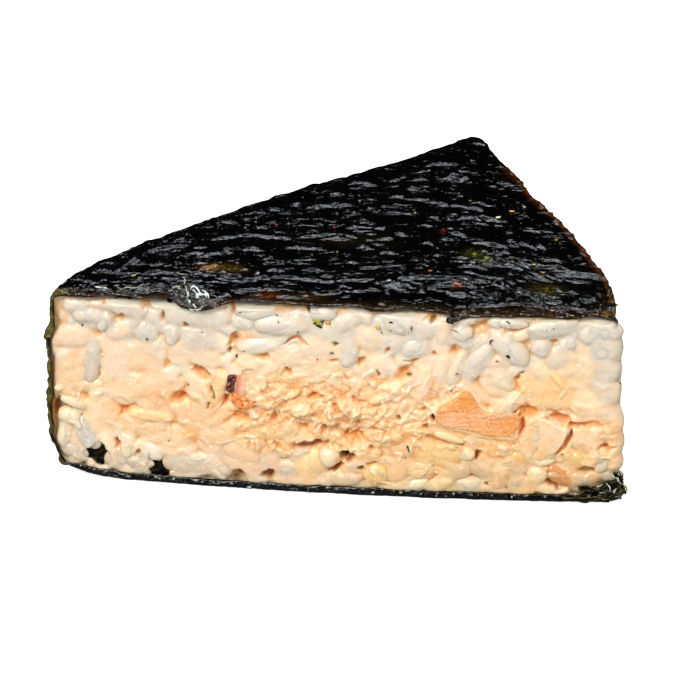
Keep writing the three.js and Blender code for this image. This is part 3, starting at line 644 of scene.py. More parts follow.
def relief(X, Z, flaky):
    """How far the core stands out of the cut face, and its colour."""
    tau, tau_c = 0.11, 0.10
    gap = mix(TONE["m"], TONE["u"], smooth(Z, 17, 21)[..., None])
    gap = mix(gap, TONE["j"], smooth(6.5 - Z, 0, 3)[..., None])
    under = smooth(3.1 - Z, 0.0, 1.3)                  # below the lowest grains the dark base shows
    gap = mix(gap, linear((26, 17, 10)), smooth(2.7 - Z, 0.0, 0.8)[..., None])
    base = mix(-0.55 + 0.18 * perlin(X / 2, Z / 2, 3.3), -1.9, under)
    S = np.exp(base / tau)
    W = np.exp(base / tau_c)
    Cs = gap * W[..., None]
    for g in grains:
        wide = 2 * g["lb"]
        sunk = 0.09 if g["real"] >= REAL else 0.0
        depth = min(wide * 0.72, 2.1) * (0.5 if g["real"] < 0.3 else 0.75 if g["real"] < 0.6 else 0.92)
        sel = (np.abs(X - g["x"]) < g["la"] * 1.5 + g["lb"]) & (np.abs(Z - g["z"]) < g["la"] * 1.5 + g["lb"])
        x, z = X[sel], Z[sel]
        if not len(x):
            continue
        wob = 0.20 * perlin(x / 2.1 + g["x"], z / 2.1, g["z"]) + 0.07 * perlin(x / 0.8, z / 0.8, g["x"])
        a, b = local(g, x, z)
        r2 = (np.abs(a) ** 2.6 + np.abs(b) ** 2.2) * (1 + wob)
        top = g["top"] + 0.28 - sunk
        h = np.where(r2 < 1, top - depth / 2 + depth / 2 * np.sqrt(np.clip(1 - r2, 0, 1)),
                     top - depth / 2 - 1.3 * (np.sqrt(np.maximum(r2, 1)) - 1) * g["lb"])
        h = h + 0.06 * perlin(x / 1.1, z / 1.1, g["z"])
        h = np.maximum(h, -2.4)
        S[sel] += np.exp(h / tau)
        w2 = np.exp(h / tau_c)
        W[sel] += w2
        edge = smooth(r2, 0.25, 1.0)[:, None]
        one_end = smooth(a * math.cos(g["a"] * 2 + g["x"]) + 0.4 * perlin(x, z, g["x"]), 0.1, 1.1)[:, None]
        tone = mix(g["tone"], g["tone"] * np.array([1.0, 0.93, 0.82]), one_end * 0.7)
        # painted light: each grain is painted 3% brighter over its crown as a highlight, and warmer and darker towards
        # its edge (GLOW) as painted glow and shade
        Cs[sel] += tone * mix(np.ones(3) * 1.03, GLOW, edge * 0.8) * w2[:, None]
    out = tau * np.log(S)
    col = soften(Cs / W[..., None], 1)
    # torn curds of dressing and flaked fish
    curdy = np.zeros(X.shape)
    for px, py, rx, ry, k in CURDY:
        x0, z0 = (float(c) for c in on_cut_near(float(px), float(py)))
        curdy = np.maximum(curdy, k * smooth(1.25 - np.hypot((X - x0) / (rx / 6.76), (Z - z0) / (ry / 5.97)) + 0.3 * perlin(X / 1.8, Z / 1.8, 4.4), 0, 0.45))
    sel = curdy > 0.01
    for size, seed, amount in ((3.0, 5, 1.0), (1.5, 9, 0.42)):
        rim_, plane, pick = cells_on(X[sel], Z[sel], size, seed)
        k = curdy[sel]
        crack = 1 - smooth(rim_, 0.0, 0.15 * size)
        out[sel] += k * amount * 0.62 * (np.clip(plane, -0.35, 0.5) - 0.26 * crack)
        shade = np.where((pick < 0.30)[:, None], TONE["c"] * 1.03, np.where((pick < 0.55)[:, None], TONE["C"] * 1.03, np.where(
            (pick < 0.76)[:, None], TONE["K"], np.where((pick < 0.9)[:, None], TONE["k"], TONE["L"]))))
        # painted shade: the sunken parts of each cell and the cracks between cells are painted orange
        shade = mix(shade, TONE["L"], (smooth(-plane, -0.05, 0.35) * 0.7)[:, None])
        shade = mix(shade, TONE["T"], (crack * 0.6)[:, None])
        col[sel] = mix(col[sel], shade, (k * (0.8 if size > 1.5 else 0.45))[:, None])
    # thin flakes and curds of dressing, one edge of each lifted
    for f in flaky:
        sel = (np.abs(X - f["x"]) < f["la"] + 0.6) & (np.abs(Z - f["z"]) < f["la"] + 0.6)
        x, z = X[sel], Z[sel]
        if not len(x):
            continue
        a, b = local(f, x, z)
        b = b + f["bend"] * (a * a - 0.4)
        r2 = np.abs(a) ** 2.4 + np.abs(b) ** 2.4 + 0.5 * perlin(x / 0.7, z / 0.7, f["x"])
        on = smooth(1.15 - r2, 0, 0.26)
        out[sel] += f["rise"] * (0.45 + 0.55 * b) * on
        # painted shade: the low side of each flake, under its lifted edge, is painted orange
        shade = mix(TONE["T"], f["tone"], smooth(b, -0.9, 0.1)[:, None])
        col[sel] = mix(col[sel], shade, (on * f["cover"])[:, None])
    for t in rows(TINTS):
        x0, z0, la, lb, a0 = oval(*t[:5])
        a, b = local(dict(x=x0, z=z0, la=la, lb=lb, a=a0), X, Z)
        k = np.clip(1 - (a * a + b * b), 0, 1) ** 1.2 * t[6]
        k = k * (0.75 + 0.5 * perlin(X / 1.7, Z / 1.7, 8.8))
        col = mix(col, TONE[t[5]], np.clip(k, 0, 1)[..., None])
    for outline, level in ((BIG, 0.42), (FOLD, 0.40)):
        k = smooth(near_outline(X, Z, outline), -0.7, -0.1)
        out = mix(out, np.maximum(out, level + 0.05 * perlin(X, Z, 2.0)), k)
    for n_, h in enumerate(hollows):
        wx, wz = X + 0.35 * perlin(X / 0.9, Z / 0.9, n_ + 0.5), Z + 0.35 * perlin(X / 0.9, Z / 0.9, n_ + 7.5)
        a, b = local(h, wx, wz)
        b = b / np.clip(1 - 0.55 * a * (1 if n_ % 2 else -1), 0.35, 1.6)     # one end narrower, like a gap between three grains
        r = np.sqrt(np.abs(a) ** 1.8 + np.abs(b) ** 1.8) + 0.12 * perlin(X / 0.6, Z / 0.6, h["x"])
        s_ = smooth(1.35 - r, 0, 0.8)
        out = out - h["depth"] * s_ ** 1.2
        dark = h["tone"].sum() < 0.9
        col = mix(col, TONE["O"] if dark else TONE["L"], (s_ * 0.40)[..., None])
        # painted shade: the lighter hollow tones are painted strongest at the roof
        upper = np.clip(0.55 + 0.45 * (Z - h["z"]) / h["lb"], 0.2, 1)        # the roof of a hollow is its darkest part
        col = mix(col, h["tone"], (smooth(1.12 - r, 0, 0.6) ** 1.1 * (1 if dark else upper))[..., None])
    return out, col


# where the face is torn curds and flakes: picture point, half widths, how strongly
CURDY = ((335, 412, 62, 34, 1.0), (285, 398, 34, 26, 0.9), (270, 432, 34, 20, 0.8), (392, 434, 36, 12, 0.8), (345, 448, 44, 14, 0.7),
         (500, 449, 22, 13, 0.8), (468, 444, 24, 10, 0.7), (602, 432, 16, 12, 0.5), (592, 456, 22, 12, 0.4), (240, 392, 22, 26, 0.6),
         (216, 392, 12, 18, 0.5), (432, 408, 14, 16, 0.8), (424, 472, 22, 10, 0.5), (384, 476, 24, 12, 0.6), (320, 372, 30, 12, 0.35),
         (67, 400, 16, 12, 0.5), (170, 432, 40, 14, 0.35), (560, 470, 22, 9, 0.5), (445, 396, 22, 10, 0.6))
# curds and flakes: thick in the middle of the filling, thinner elsewhere
flakes = []
for _ in range(150):
    px, py = rng.normal(335, 75), rng.normal(417, 20)
    if not (232 < px < 500 and 376 < py < 462):
        continue
    ln, wd = rng.uniform(9, 28), rng.uniform(4, 11)
    x, z, la, lb, a = oval(px, py, ln, wd, rng.normal(5, 45))
    flakes.append(dict(x=x, z=z, la=la, lb=lb, a=a, bend=rng.uniform(-0.8, 0.8), rise=rng.uniform(0.15, 0.40),
                       tone=TONE[("c", "c", "C", "w", "K")[rng.integers(5)]], cover=rng.uniform(0.35, 0.8)))
for _ in range(120):
    px, py = rng.uniform(60, 610), rng.uniform(385, 480)
    if 232 < px < 480:
        continue
    ln, wd = rng.uniform(8, 20), rng.uniform(3, 7)
    x, z, la, lb, a = oval(px, py, ln, wd, rng.normal(0, 50))
    flakes.append(dict(x=x, z=z, la=la, lb=lb, a=a, bend=rng.uniform(-0.8, 0.8), rise=rng.uniform(0.08, 0.25),
                       tone=TONE[("c", "p", "w")[rng.integers(3)]], cover=rng.uniform(0.2, 0.5)))

out, col = relief(Xg, Zg, flakes)
# the whole face: fine wet unevenness; the rim goes in under the sheet all round
out += 0.045 * fbm(Xg / 0.9, Zg / 0.9, 2.2, 3) + 0.05 * perlin(Xg / 2.5, Zg / 2.5, 6.1)
# painted shade and highlight: further down, the gaps are painted deeper and darker in colour than the crowns, and the
# crowns a little lighter, as light through the dressing would colour them
GAPS = ((96, 456.5, 1.15, 1.35), (161, 470.5, 1.25, 1.7))     # where no rice reaches the sheet, low on the left
for gx, gy, gw, gh in GAPS:
    gX, gZ = (float(c_) for c_ in on_cut_near(float(gx), float(gy)))
    r_ = np.hypot((Xg - gX) / gw, (Zg - gZ) / gh) + 0.22 * perlin(Xg / 0.9, Zg / 0.9, 6.0)
    k_ = 1 - smooth(r_, 0.80, 1.05)
    out = mix(out, -0.9, k_)
    col = mix(col, linear((12, 9, 6)), (1 - smooth(r_, 0.7, 1.0))[..., None])
# painted shade in the gaps and painted highlight on the crowns, from how far each point lies below or above its
# surroundings
dip = soften(out, 26) - out
painted_crevice_shade = mix(np.array([1.0, 0.85, 0.66]), np.array([1.0, 0.88, 0.72]), smooth(Zg, 16, 22)[..., None])
painted_crevice_shade = mix(painted_crevice_shade, np.array([0.88, 0.72, 0.54]), smooth(6.0 - Zg, 0, 3)[..., None])
col = col * mix(np.ones(3), painted_crevice_shade, (smooth(dip, 0.02, 0.34) * 0.85)[..., None]) * soaked(Xg, Zg)
col = col * (1 + 0.05 * smooth(-dip, 0.03, 0.25) + 0.035 * perlin(Xg / 0.45, Zg / 0.45, 9.0) + 0.04 * perlin(Xg / 1.4, Zg / 1.4, 3.0))[..., None]
rim = smooth(Z_TOP - Zg, 0.0, 0.42) * smooth(Zg - Z_LOW, 0.0, 0.3) * smooth(Xg - Q_LEFT, 0.0, 0.55)
out = mix(-0.45, out, rim)


def heel(z):
    """The round lower-left corner: how far the end draws in at each height."""
    return 2.3 * (1 - np.sqrt(1 - 0.97 * np.clip((4.4 - z) / 4.4, 0, 1) ** 2))


def inset(x, z):
    """How far the left-hand end draws in towards the top and the base, inside the sheet."""
    k = 0.85 * (1 - smooth(z, 1.2, 5.2) * smooth(26.5 - z, 0, 5)) + heel(z)
    return k * np.clip((-36.5 - x) / 5, 0, 1)


def to_block(qx, z, out):
    """Face coordinates to the block before warp(): flat, then round the soft right-hand corner."""
    phi = np.clip((qx - EDGE_R) / WRAP, 0, math.pi / 2)
    bx = np.where(qx > EDGE_R, EDGE_R + WRAP * np.sin(phi), qx)
    by = np.where(qx > EDGE_R, WRAP * (1 - np.cos(phi)), 0.0)
    bx = bx + 0.75 * np.clip((qx - 36.5) / 4, 0, 1) * smooth(15.5 - z, 0, 3)          # fuller low on the right
    bx = bx + inset(qx, z)
    bx = bx - 0.9 * smooth(qx, 40.0, 43.0) * smooth(z, 27.0, 29.6) ** 2                # soft upper corner
    return np.stack([bx + np.sin(phi) * out, by - np.cos(phi) * out, z + 0 * bx], -1)


front = warp(to_block(Xg, Zg, out))
bx = np.minimum(Xg[::K, ::K], 40.2)
back = warp(np.stack([bx + inset(bx, Zg[::K, ::K]), np.full_like(bx, 2.6), Zg[::K, ::K]], -1))
gn = np.cross(np.gradient(front, axis=1), np.gradient(front, axis=0))
gn /= np.maximum(np.linalg.norm(gn, axis=-1, keepdims=True), 1e-9)
if gn[ROWS // 2, COLS // 2, 1] > 0:
    gn = -gn
front_n = np.concatenate([gn.reshape(-1, 3), np.zeros((back.shape[0] * back.shape[1], 3))])
# no scattering right beside the line where the two pieces meet
away = np.maximum(np.maximum(FILL_L - Xg, Xg - FILL_R), np.maximum(fill_low(np.clip(Xg, FILL_L, FILL_R)) - Zg, Zg - fill_high(np.clip(Xg, FILL_L, FILL_R))))
front_soft = smooth(np.abs(away), 0.15, 1.3)
all_soft = np.concatenate([front_soft.ravel(), np.zeros(back.shape[0] * back.shape[1])])
cells = np.zeros(((ROWS - 1) // K, (COLS - 1) // K), bool)
cells[N1 // K:(N1 + N2) // K, C1 // K:(C1 + C2) // K] = True
back_col = col[::K, ::K]
all_col = np.concatenate([col.reshape(-1, 3), back_col.reshape(-1, 3)])


def behind(node, shift, colour):
    """The rest of the piece behind the cut face: the CAD solid with its front drawn back."""
    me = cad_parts[node].data
    v = np.array([p.co for p in me.vertices]) * 1000 - OFFSET
    tri = np.array([list(p.vertices) for p in me.polygons])
    near = 1 - smooth(v[:, 1], 0.5, 5.0)
    v[:, 1] += (shift + np.clip(0.4 - v[:, 1], 0, 6)) * near
    key = np.round(v, 4)
    _, first, inv = np.unique(key, axis=0, return_index=True, return_inverse=True)
    inv = inv.ravel()
    tri = inv[tri]
    tri = tri[(tri[:, 0] != tri[:, 1]) & (tri[:, 1] != tri[:, 2]) & (tri[:, 0] != tri[:, 2])]
    return v[first], tri, np.broadcast_to(colour, (len(first), 3))


# ------------------------------------------------------------------ materials
def material(name):
    m = bpy.data.materials.new(name)
    m.use_nodes = True
    nt = m.node_tree
    nt.nodes.clear()
    out = nt.nodes.new("ShaderNodeOutputMaterial")
    p = nt.nodes.new("ShaderNodeBsdfPrincipled")
    nt.links.new(p.outputs[0], out.inputs[0])
    return m, nt, p


def add(nt, kind, **sets):
    n = nt.nodes.new(kind)
    for k, v in sets.items():
        if k.startswith("i_"):
            key = k[2:]
            n.inputs[int(key) if key.isdigit() else key.replace("_", " ")].default_value = v
        else:
            setattr(n, k, v)
    return n


def noise(nt, size_mm, detail=3.0, rough=0.55, stretch=(1, 1, 1), turn=(0, 0, 0)):
    """Noise whose features are about size_mm across, in object space."""
    co = add(nt, "ShaderNodeTexCoord")
    mp = add(nt, "ShaderNodeMapping")
    mp.inputs["Rotation"].default_value = turn
    mp.inputs["Scale"].default_value = tuple(1000 / (size_mm * s) for s in stretch)
    tx = add(nt, "ShaderNodeTexNoise", i_Scale=1.0, i_Detail=detail, i_Roughness=rough)
    nt.links.new(co.outputs["Object"], mp.inputs["Vector"])
    nt.links.new(mp.outputs[0], tx.inputs["Vector"])
    return tx.outputs["Fac"]


def span(nt, value, lo, hi, a=0.0, b=1.0):
    r = add(nt, "ShaderNodeMapRange", i_1=a, i_2=b, i_3=lo, i_4=hi)
    nt.links.new(value, r.inputs[0])
    return r.outputs[0]


def blend_colour(nt, fac, a, b, mode="MIX"):
    m = add(nt, "ShaderNodeMix", data_type="RGBA", blend_type=mode)
    for socket, v in ((0, fac), (6, a), (7, b)):
        if isinstance(v, bpy.types.NodeSocket):
            nt.links.new(v, m.inputs[socket])
        else:
            m.inputs[socket].default_value = v if socket == 0 else (*v, 1)
    return m.outputs[2]


def bump(nt, heights, p):
    last = None
    for h, dist in heights:
        b = add(nt, "ShaderNodeBump", i_Strength=1.0, i_Distance=dist / 1000)
        nt.links.new(h, b.inputs["Height"])
        if last:
            nt.links.new(last, b.inputs["Normal"])
        last = b.outputs[0]
    nt.links.new(last, p.inputs["Normal"])


def moist(name, sss, radius, rough, mottle, warm, fine=0.05, dots=False, fibre=False, core=False):
    """Moist cooked food coloured by the mesh's own tones, with mottling and a wet, finely uneven skin."""
    m, nt, p = material(name)
    tone = add(nt, "ShaderNodeVertexColor", layer_name="tone")
    n1 = noise(nt, 2.6, 3)
    n2 = noise(nt, 0.7, 3)
    c = blend_colour(nt, span(nt, n1, 0, mottle, 0.35, 0.75), tone.outputs[0], warm, "MULTIPLY")
    c = blend_colour(nt, span(nt, n2, 0, 0.16, 0.5, 0.8), c, (1.0, 0.985, 0.96))
    if dots:
        d = span(nt, noise(nt, 0.26, 1), 0, 0.6, 0.64, 0.70)
        c = blend_colour(nt, d, c, tuple(linear((176, 84, 24))))
    nt.links.new(c, p.inputs["Base Color"])
    nt.links.new(span(nt, noise(nt, 1.6, 2), rough[0], rough[1], 0.3, 0.7), p.inputs["Roughness"])
    p.inputs["Subsurface Weight"].default_value = sss
    if core:
        at = add(nt, "ShaderNodeAttribute", attribute_name="soft")
        nt.links.new(span(nt, at.outputs["Fac"], 0, sss), p.inputs["Subsurface Weight"])
    p.inputs["Subsurface Radius"].default_value = radius
    p.inputs["Subsurface Scale"].default_value = 0.001
    p.inputs["IOR"].default_value = 1.33
    hs = [(noise(nt, 0.30, 3, 0.6), fine), (noise(nt, 0.9, 3, 0.6), fine * 1.8)]
    if fibre:
        hs.append((noise(nt, 0.5, 2, 0.5, (7, 1, 1), (0, math.radians(-9), 0)), 0.12))
    bump(nt, hs, p)
    p.inputs["Coat Weight"].default_value = 0.5
    p.inputs["Coat Roughness"].default_value = 0.035
    nt.links.new(p.inputs["Normal"].links[0].from_socket, p.inputs["Coat Normal"])
    return m


RICE = moist("cooked_rice_core", 0.66, (1.4, 0.95, 0.6), (0.07, 0.26), 0.35, (0.99, 0.955, 0.90), 0.06, core=True)
GRAINS_MAT = moist("cooked_rice_grains", 0.6, (0.8, 0.6, 0.42), (0.07, 0.24), 0.3, (0.99, 0.96, 0.92), 0.05)
FILLING = moist("salmon_dressing", 0.62, (1.5, 0.8, 0.42), (0.10, 0.32), 0.5, (1.0, 0.91, 0.78), 0.08, core=True)
SALMON = moist("salmon_flesh", 0.36, (0.9, 0.42, 0.22), (0.22, 0.42), 0.6, (1.0, 0.88, 0.72), 0.05, True, True)
SALMON_PALE = moist("salmon_folded_flesh", 0.5, (1.0, 0.62, 0.4), (0.14, 0.36), 0.4, (1.0, 0.94, 0.86), 0.06, False, False)


def root(ob, *nodes, slot):
    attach(ob, "root")
    if nodes:
        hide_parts(*nodes)
    return ob


# ---- rice body (core) and filling body
v, f, used = shell(front, back, K, ~cells)
bv, bt, bc = behind("rice", 1.2, TONE["G"])
rice_core = build("rice_core", np.concatenate([v, bv]), [np.concatenate([f[0], bt + len(v)]), f[1]],
                  np.concatenate([all_col[used], bc]), RICE, np.concatenate([front_n[used], np.zeros((len(bv), 3))]),
                  np.concatenate([all_soft[used], np.zeros(len(bv))]))
root(rice_core, "rice", slot="rice")
v, f, used = shell(front, back, K, cells)
bv, bt, bc = behind("salmon_filling", 1.2, TONE["K"])
filling = build("salmon_filling_layer", np.concatenate([v, bv]), [np.concatenate([f[0], bt + len(v)]), f[1]],
                np.concatenate([all_col[used], bc]), FILLING, np.concatenate([front_n[used], np.zeros((len(bv), 3))]),
                np.concatenate([all_soft[used], np.zeros(len(bv))]))
root(filling, "salmon_filling", slot="filling")


# ------------------------------------------------------------------ real grains
def grain_shape(seed, nu=15, nv=14):
    """A plump cooked grain along x, about 1 long and wide in its own units: verts (u, v), faces."""
    th = np.linspace(0, math.pi, nu + 1)[1:-1]
    ph = np.linspace(0, 2 * math.pi, nv, endpoint=False)
    T, F = np.meshgrid(th, ph, indexing="ij")
    r = np.sin(T) ** 0.66
    u = -np.cos(T)
    r = r * (1 + 0.10 * u * rng.choice([-1, 1]))
    # a shallow groove and a notch where the germ was
    r = r * (1 - 0.07 * np.exp(-((F - 1.9) / 0.45) ** 2))
    notch = np.exp(-((u - 0.8) / 0.22) ** 2 - ((F - 2.6) / 0.7) ** 2)
    r = r * (1 - 0.22 * notch)
    a, b, d = u, r * np.cos(F), r * np.sin(F)
    lump = 1 + 0.06 * perlin(a * 1.6 + seed, b * 1.6, d * 1.6 + seed)
    ring = np.stack([a * (1 + 0.02 * lump), b * lump, d * lump], -1)
    verts = np.concatenate([[[-1.0, 0, 0]], ring.reshape(-1, 3), [[1.0, 0, 0]]])
    n, last = len(th), 1 + len(th) * nv
    idx = 1 + np.arange(n * nv).reshape(n, nv)
    nxt = np.roll(idx, -1, 1)
    quads = np.stack([idx[:-1], idx[1:], nxt[1:], nxt[:-1]], -1).reshape(-1, 4)
    tris = np.concatenate([np.stack([np.zeros(nv, int), idx[0], nxt[0]], 1),
                           np.stack([np.full(nv, last), nxt[-1], idx[-1]], 1)])
    return verts, [tris, quads]


def add_grain(heap, x, z, la, lb, ang, top, tone, depth=None, tilt=0.0, bend=0.12, y0=0.0, face="cut"):
    v, f = grain_shape(rng.uniform(0, 99))
    depth = depth or min(lb * 2 * 0.80, 2.4)
    a, b, d = v[:, 0] * la, v[:, 1] * lb, v[:, 2] * depth / 2
    b = b + bend * lb * (v[:, 0] ** 2 - 0.4)
    a, d = a * math.cos(tilt) - d * math.sin(tilt), d * math.cos(tilt) + a * math.sin(tilt)
    c, s = math.cos(ang), math.sin(ang)
    X, Z, out = x + a * c - b * s, z + a * s + b * c, top - depth / 2 + d
    if face == "cut":
        P = np.stack([X + inset(X, Z), y0 - out, Z], -1)
    else:  # facing the right-hand end: x is read as distance back from the cut
        P = np.stack([y0 + out, X, Z], -1)
    shade = tone * (1 + 0.05 * perlin(v[:, 0] * 1.3 + x, v[:, 1], z))[:, None]
    end = smooth(v[:, 0] * math.cos(ang * 2 + x) + 0.3 * perlin(v[:, 0] + x, v[:, 1], z), 0.1, 1.1)
    shade = shade * mix(np.ones(3), np.array([1.0, 0.94, 0.84]), (end * 0.7)[:, None])
    # painted light: the grain is painted warmer and darker round its sides as glow and shade, and 3% brighter on its
    # front as a highlight
    shade = shade * mix(np.array([1.0, 0.87, 0.69]), np.array([1.03, 1.03, 1.03]), smooth(v[:, 2], 0.05, 0.92)[:, None])
    if face == "cut":
        shade = shade * soaked(X, Z)
    heap.add(warp(P), f, shade)


heap = Heap()
for g in grains:
    if g["real"] < REAL:
        continue
    la, lb = g["la"], g["lb"]
    wx = max(la * abs(math.cos(g["a"])), lb)
    wz = max(la * abs(math.sin(g["a"])), lb)
    for hole in hollows:                     # a dark gap between grains stays open
        if hole["depth"] >= 1.0 and hole["tone"].sum() < 0.9:
            r_ = math.hypot(g["x"] - hole["x"], g["z"] - hole["z"])
            near_ = 1.0 * math.sqrt(la * lb) + 0.85 * hole["la"]
            if r_ < near_:
                push = (near_ - r_) * 0.8
                g["x"] += push * (g["x"] - hole["x"]) / max(r_, 0.1)
                g["z"] += push * (g["z"] - hole["z"]) / max(r_, 0.1)
    roof = float(np.interp(g["x"], q, Z_TOP))
    x, z = np.clip(g["x"], -41.9 + wx, 41.9 - wx), np.clip(g["z"], 0.95 + wz, roof + 0.1 - wz)
    add_grain(heap, x, z, la, lb, g["a"], g["top"] + 0.28, g["tone"], tilt=rng.uniform(-0.05, 0.05), bend=rng.uniform(-0.25, 0.25))
rice_grains = heap.make("rice_grains", GRAINS_MAT)
root(rice_grains, slot="rice")


# ------------------------------------------------------------------ salmon pieces
def rounded(points, times=3):
    p = np.asarray(points, float)
    for _ in range(times):
        n = np.roll(p, -1, 0)
        p = np.stack([p * 0.75 + n * 0.25, p * 0.25 + n * 0.75], 1).reshape(-1, 2)
    return p


def slab(heap, outline, top, thick, tone_at, relief_at=None, rings=26, around=150, round_mm=0.35, centre=None, times=2):
    """A flat-faced flake: outline on the picture, top in mm, with a softened rim, sides and back."""
    px = rounded(outline, times)
    x, z = on_cut(px[:, 0], px[:, 1])
    d = np.hypot(np.diff(np.append(x, x[0])), np.diff(np.append(z, z[0])))
    at = np.append(0, np.cumsum(d))
    want = np.linspace(0, at[-1], around, endpoint=False)
    bx, bz = np.interp(want, at, np.append(x, x[0])), np.interp(want, at, np.append(z, z[0]))
    if centre is None:
        cx, cz = bx.mean(), bz.mean()
    else:
        c = on_cut(np.array([centre[0]]), np.array([centre[1]]))
        cx, cz = float(c[0][0]), float(c[1][0])
    rho = np.sin(np.linspace(0, math.pi / 2, rings + 1)[1:]) ** 0.9
    X = cx + (bx - cx)[None, :] * rho[:, None]
    Z = cz + (bz - cz)[None, :] * rho[:, None]
    gap = (1 - rho)[:, None] * np.hypot(bx - cx, bz - cz)[None, :]
    drop = round_mm * (1 - np.sqrt(np.clip(1 - np.clip(1 - gap / (round_mm * 1.6), 0, 1) ** 2, 0, 1)))
    O = (top(X, Z) if callable(top) else top) - drop
    if relief_at is not None:
        O = O + relief_at(X, Z) * np.clip(gap / 0.3, 0.15, 1)
    col_front = tone_at(X, Z)
    vs, cs = [], []
    c0 = (top(np.array([[cx]]), np.array([[cz]]))[0, 0] if callable(top) else top)
    if relief_at is not None:
        c0 = c0 + float(relief_at(np.array([[cx]]), np.array([[cz]]))[0, 0])
    vs.append(np.array([[cx, -c0, cz]]))
    cs.append(tone_at(np.array([[cx]]), np.array([[cz]])).reshape(1, 3))
    vs.append(np.stack([X, -O, Z], -1).reshape(-1, 3))
    cs.append(col_front.reshape(-1, 3))
    walls = 4
    for w in range(1, walls + 1):
        k = w / walls
        sh = 1 - 0.1 * k ** 2
        vs.append(np.stack([cx + (bx - cx) * sh, -O[-1] + thick * k, cz + (bz - cz) * sh], -1))
        # painted shade: the sides are painted darker the further back they reach, and the centre of the back darker
        # still
        cs.append(col_front[-1] * (1 - 0.25 * k))
    vs.append(np.array([[cx, -c0 + thick, cz]]))
    cs.append(col_front[-1].mean(0, keepdims=True) * 0.7)
    n = around
    total = rings + walls
    idx = 1 + np.arange(total * n).reshape(total, n)
    nxt = np.roll(idx, -1, 1)
    quads = np.stack([idx[:-1], nxt[:-1], nxt[1:], idx[1:]], -1).reshape(-1, 4)
    last = 1 + total * n
    tris = np.concatenate([np.stack([np.zeros(n, int), nxt[0], idx[0]], 1),
                           np.stack([np.full(n, last), idx[-1], nxt[-1]], 1)])
    heap.add(warp(np.concatenate(vs)), [tris, quads], np.concatenate(cs))


def dotted(X, Z, size=0.27, cut=0.36):
    """Small dark pits scattered over flesh: 0 to 1."""
    n = perlin(X / size + 5.5, Z / size + 2.2, 4.4) + 0.25 * perlin(X / 0.3, Z / 0.3, 1.1)
    return smooth(n, cut, cut + 0.14)


def mmpx(px, py):
    x, z = on_cut_near(px, py)
    return float(x), float(z)


# the big speckled piece
x1, z1 = mmpx(480, 423)
darkx, darkz = mmpx(470, 395)


def big_tone(X, Z):
    c = mix(TONE["S"] * np.array([1.0, 1.08, 1.15]), TONE["P"], np.clip(0.3 + 0.5 * perlin(X / 3.5, Z / 2.2, 1.5) + 0.35 * np.exp(-((X - x1 + 1.5) / 2.4) ** 2 - ((Z - z1 - 1.2) / 1.4) ** 2), 0, 0.75)[..., None])
    c = mix(c, TONE["S"], (0.75 * np.exp(-((X - x1 - 4) / 2.6) ** 2 - ((Z - z1 + 0.2) / 1.5) ** 2))[..., None])
    fin = np.exp(-((X - darkx) / 0.9) ** 2 - ((Z - darkz) / 0.8) ** 2)
    c = mix(c, TONE["O"], np.clip(fin, 0, 0.8)[..., None])
    return mix(c, linear((178, 84, 26)), (dotted(X, Z, 0.23, 0.34) * 0.62)[..., None])


def big_relief(X, Z):
    fibres = 0.07 * ridged(X / 5 + Z * 0.12, (Z - 0.16 * X) / 0.8, 2.2, 1.5)
    return fibres + 0.10 * perlin(X / 2.4, Z / 1.8, 7.7) - 0.018 * dotted(X, Z, 0.23, 0.34)


h1 = Heap()
slab(h1, BIG, lambda X, Z: 0.60 + 0.05 * (Z - z1) - 0.02 * (X - x1), 4.6, big_tone, big_relief, rings=44, around=230, centre=(476, 420), times=1, round_mm=0.42)
big = h1.make("salmon_piece_large", SALMON)
root(big, "salmon_chunk_large", slot="salmon")

# the pale folded piece
x2, z2 = mmpx(543, 441)

def tent(X, Z, points, height, width):
    """A straight-sided ridge along a line given on the picture."""
    xs, zs = on_cut_near([p_[0] for p_ in points], [p_[1] for p_ in points])
    best = np.full(np.shape(X), 1e9)
    for a in range(len(xs) - 1):
        dx, dz = xs[a + 1] - xs[a], zs[a + 1] - zs[a]
        t = np.clip(((X - xs[a]) * dx + (Z - zs[a]) * dz) / (dx * dx + dz * dz), 0, 1)
        best = np.minimum(best, np.hypot(X - xs[a] - t * dx, Z - zs[a] - t * dz))
    return height * np.clip(1 - best / width, 0, 1)


fold_a, fold_b = mmpx(548, 420), mmpx(540, 460)


def from_ridge(X, Z):
    """Distance right of the folded flake's one ridge."""
    return X - (fold_b[0] + (fold_a[0] - fold_b[0]) * (Z - fold_b[1]) / (fold_a[1] - fold_b[1]))


def fold_tone(X, Z):
    d = from_ridge(X, Z) + 0.35 * perlin(X / 1.5, Z / 1.5, 3.5)
    c = mix(TONE["K"], TONE["C"], smooth(d, -0.5, 0.6)[..., None]) * 1.04
    c = mix(c, TONE["k"], np.clip(0.4 + 1.2 * perlin(X / 1.8, Z / 1.8, 8.5), 0, 1)[..., None] * 0.7)
    # painted shade: orange towards the lower part of the flake
    c = mix(c, TONE["L"], (smooth(fold_a[1] - Z, 2.2, 6.0) * 0.45)[..., None])
    c = c * np.array([1.03, 0.98, 0.945])
    # painted highlight: a bright cream rim along the upper right edge
    return mix(c, TONE["c"] * 1.04, np.clip(tent(X, Z, [(549, 421.5), (558, 426), (567.5, 430.8), (565, 439), (561, 446)], 1.0, 0.42), 0, 1)[..., None] * 0.8)


def fold_relief(X, Z):
    r = 0.10 * tent(X, Z, [(549, 421.5), (558, 426), (567.5, 430.8), (565, 439), (561, 446)], 1.0, 0.5)
    r = r - 0.10 * tent(X, Z, [(538, 424), (533, 436), (530, 450)], 1.0, 1.6) + 0.10 * tent(X, Z, [(546, 424), (548, 436), (541, 452)], 1.0, 1.5)
    return r + 0.09 * perlin(X / 1.4, Z / 1.4, 2.5) + 0.045 * perlin(X / 0.5, Z / 0.5, 3.5)


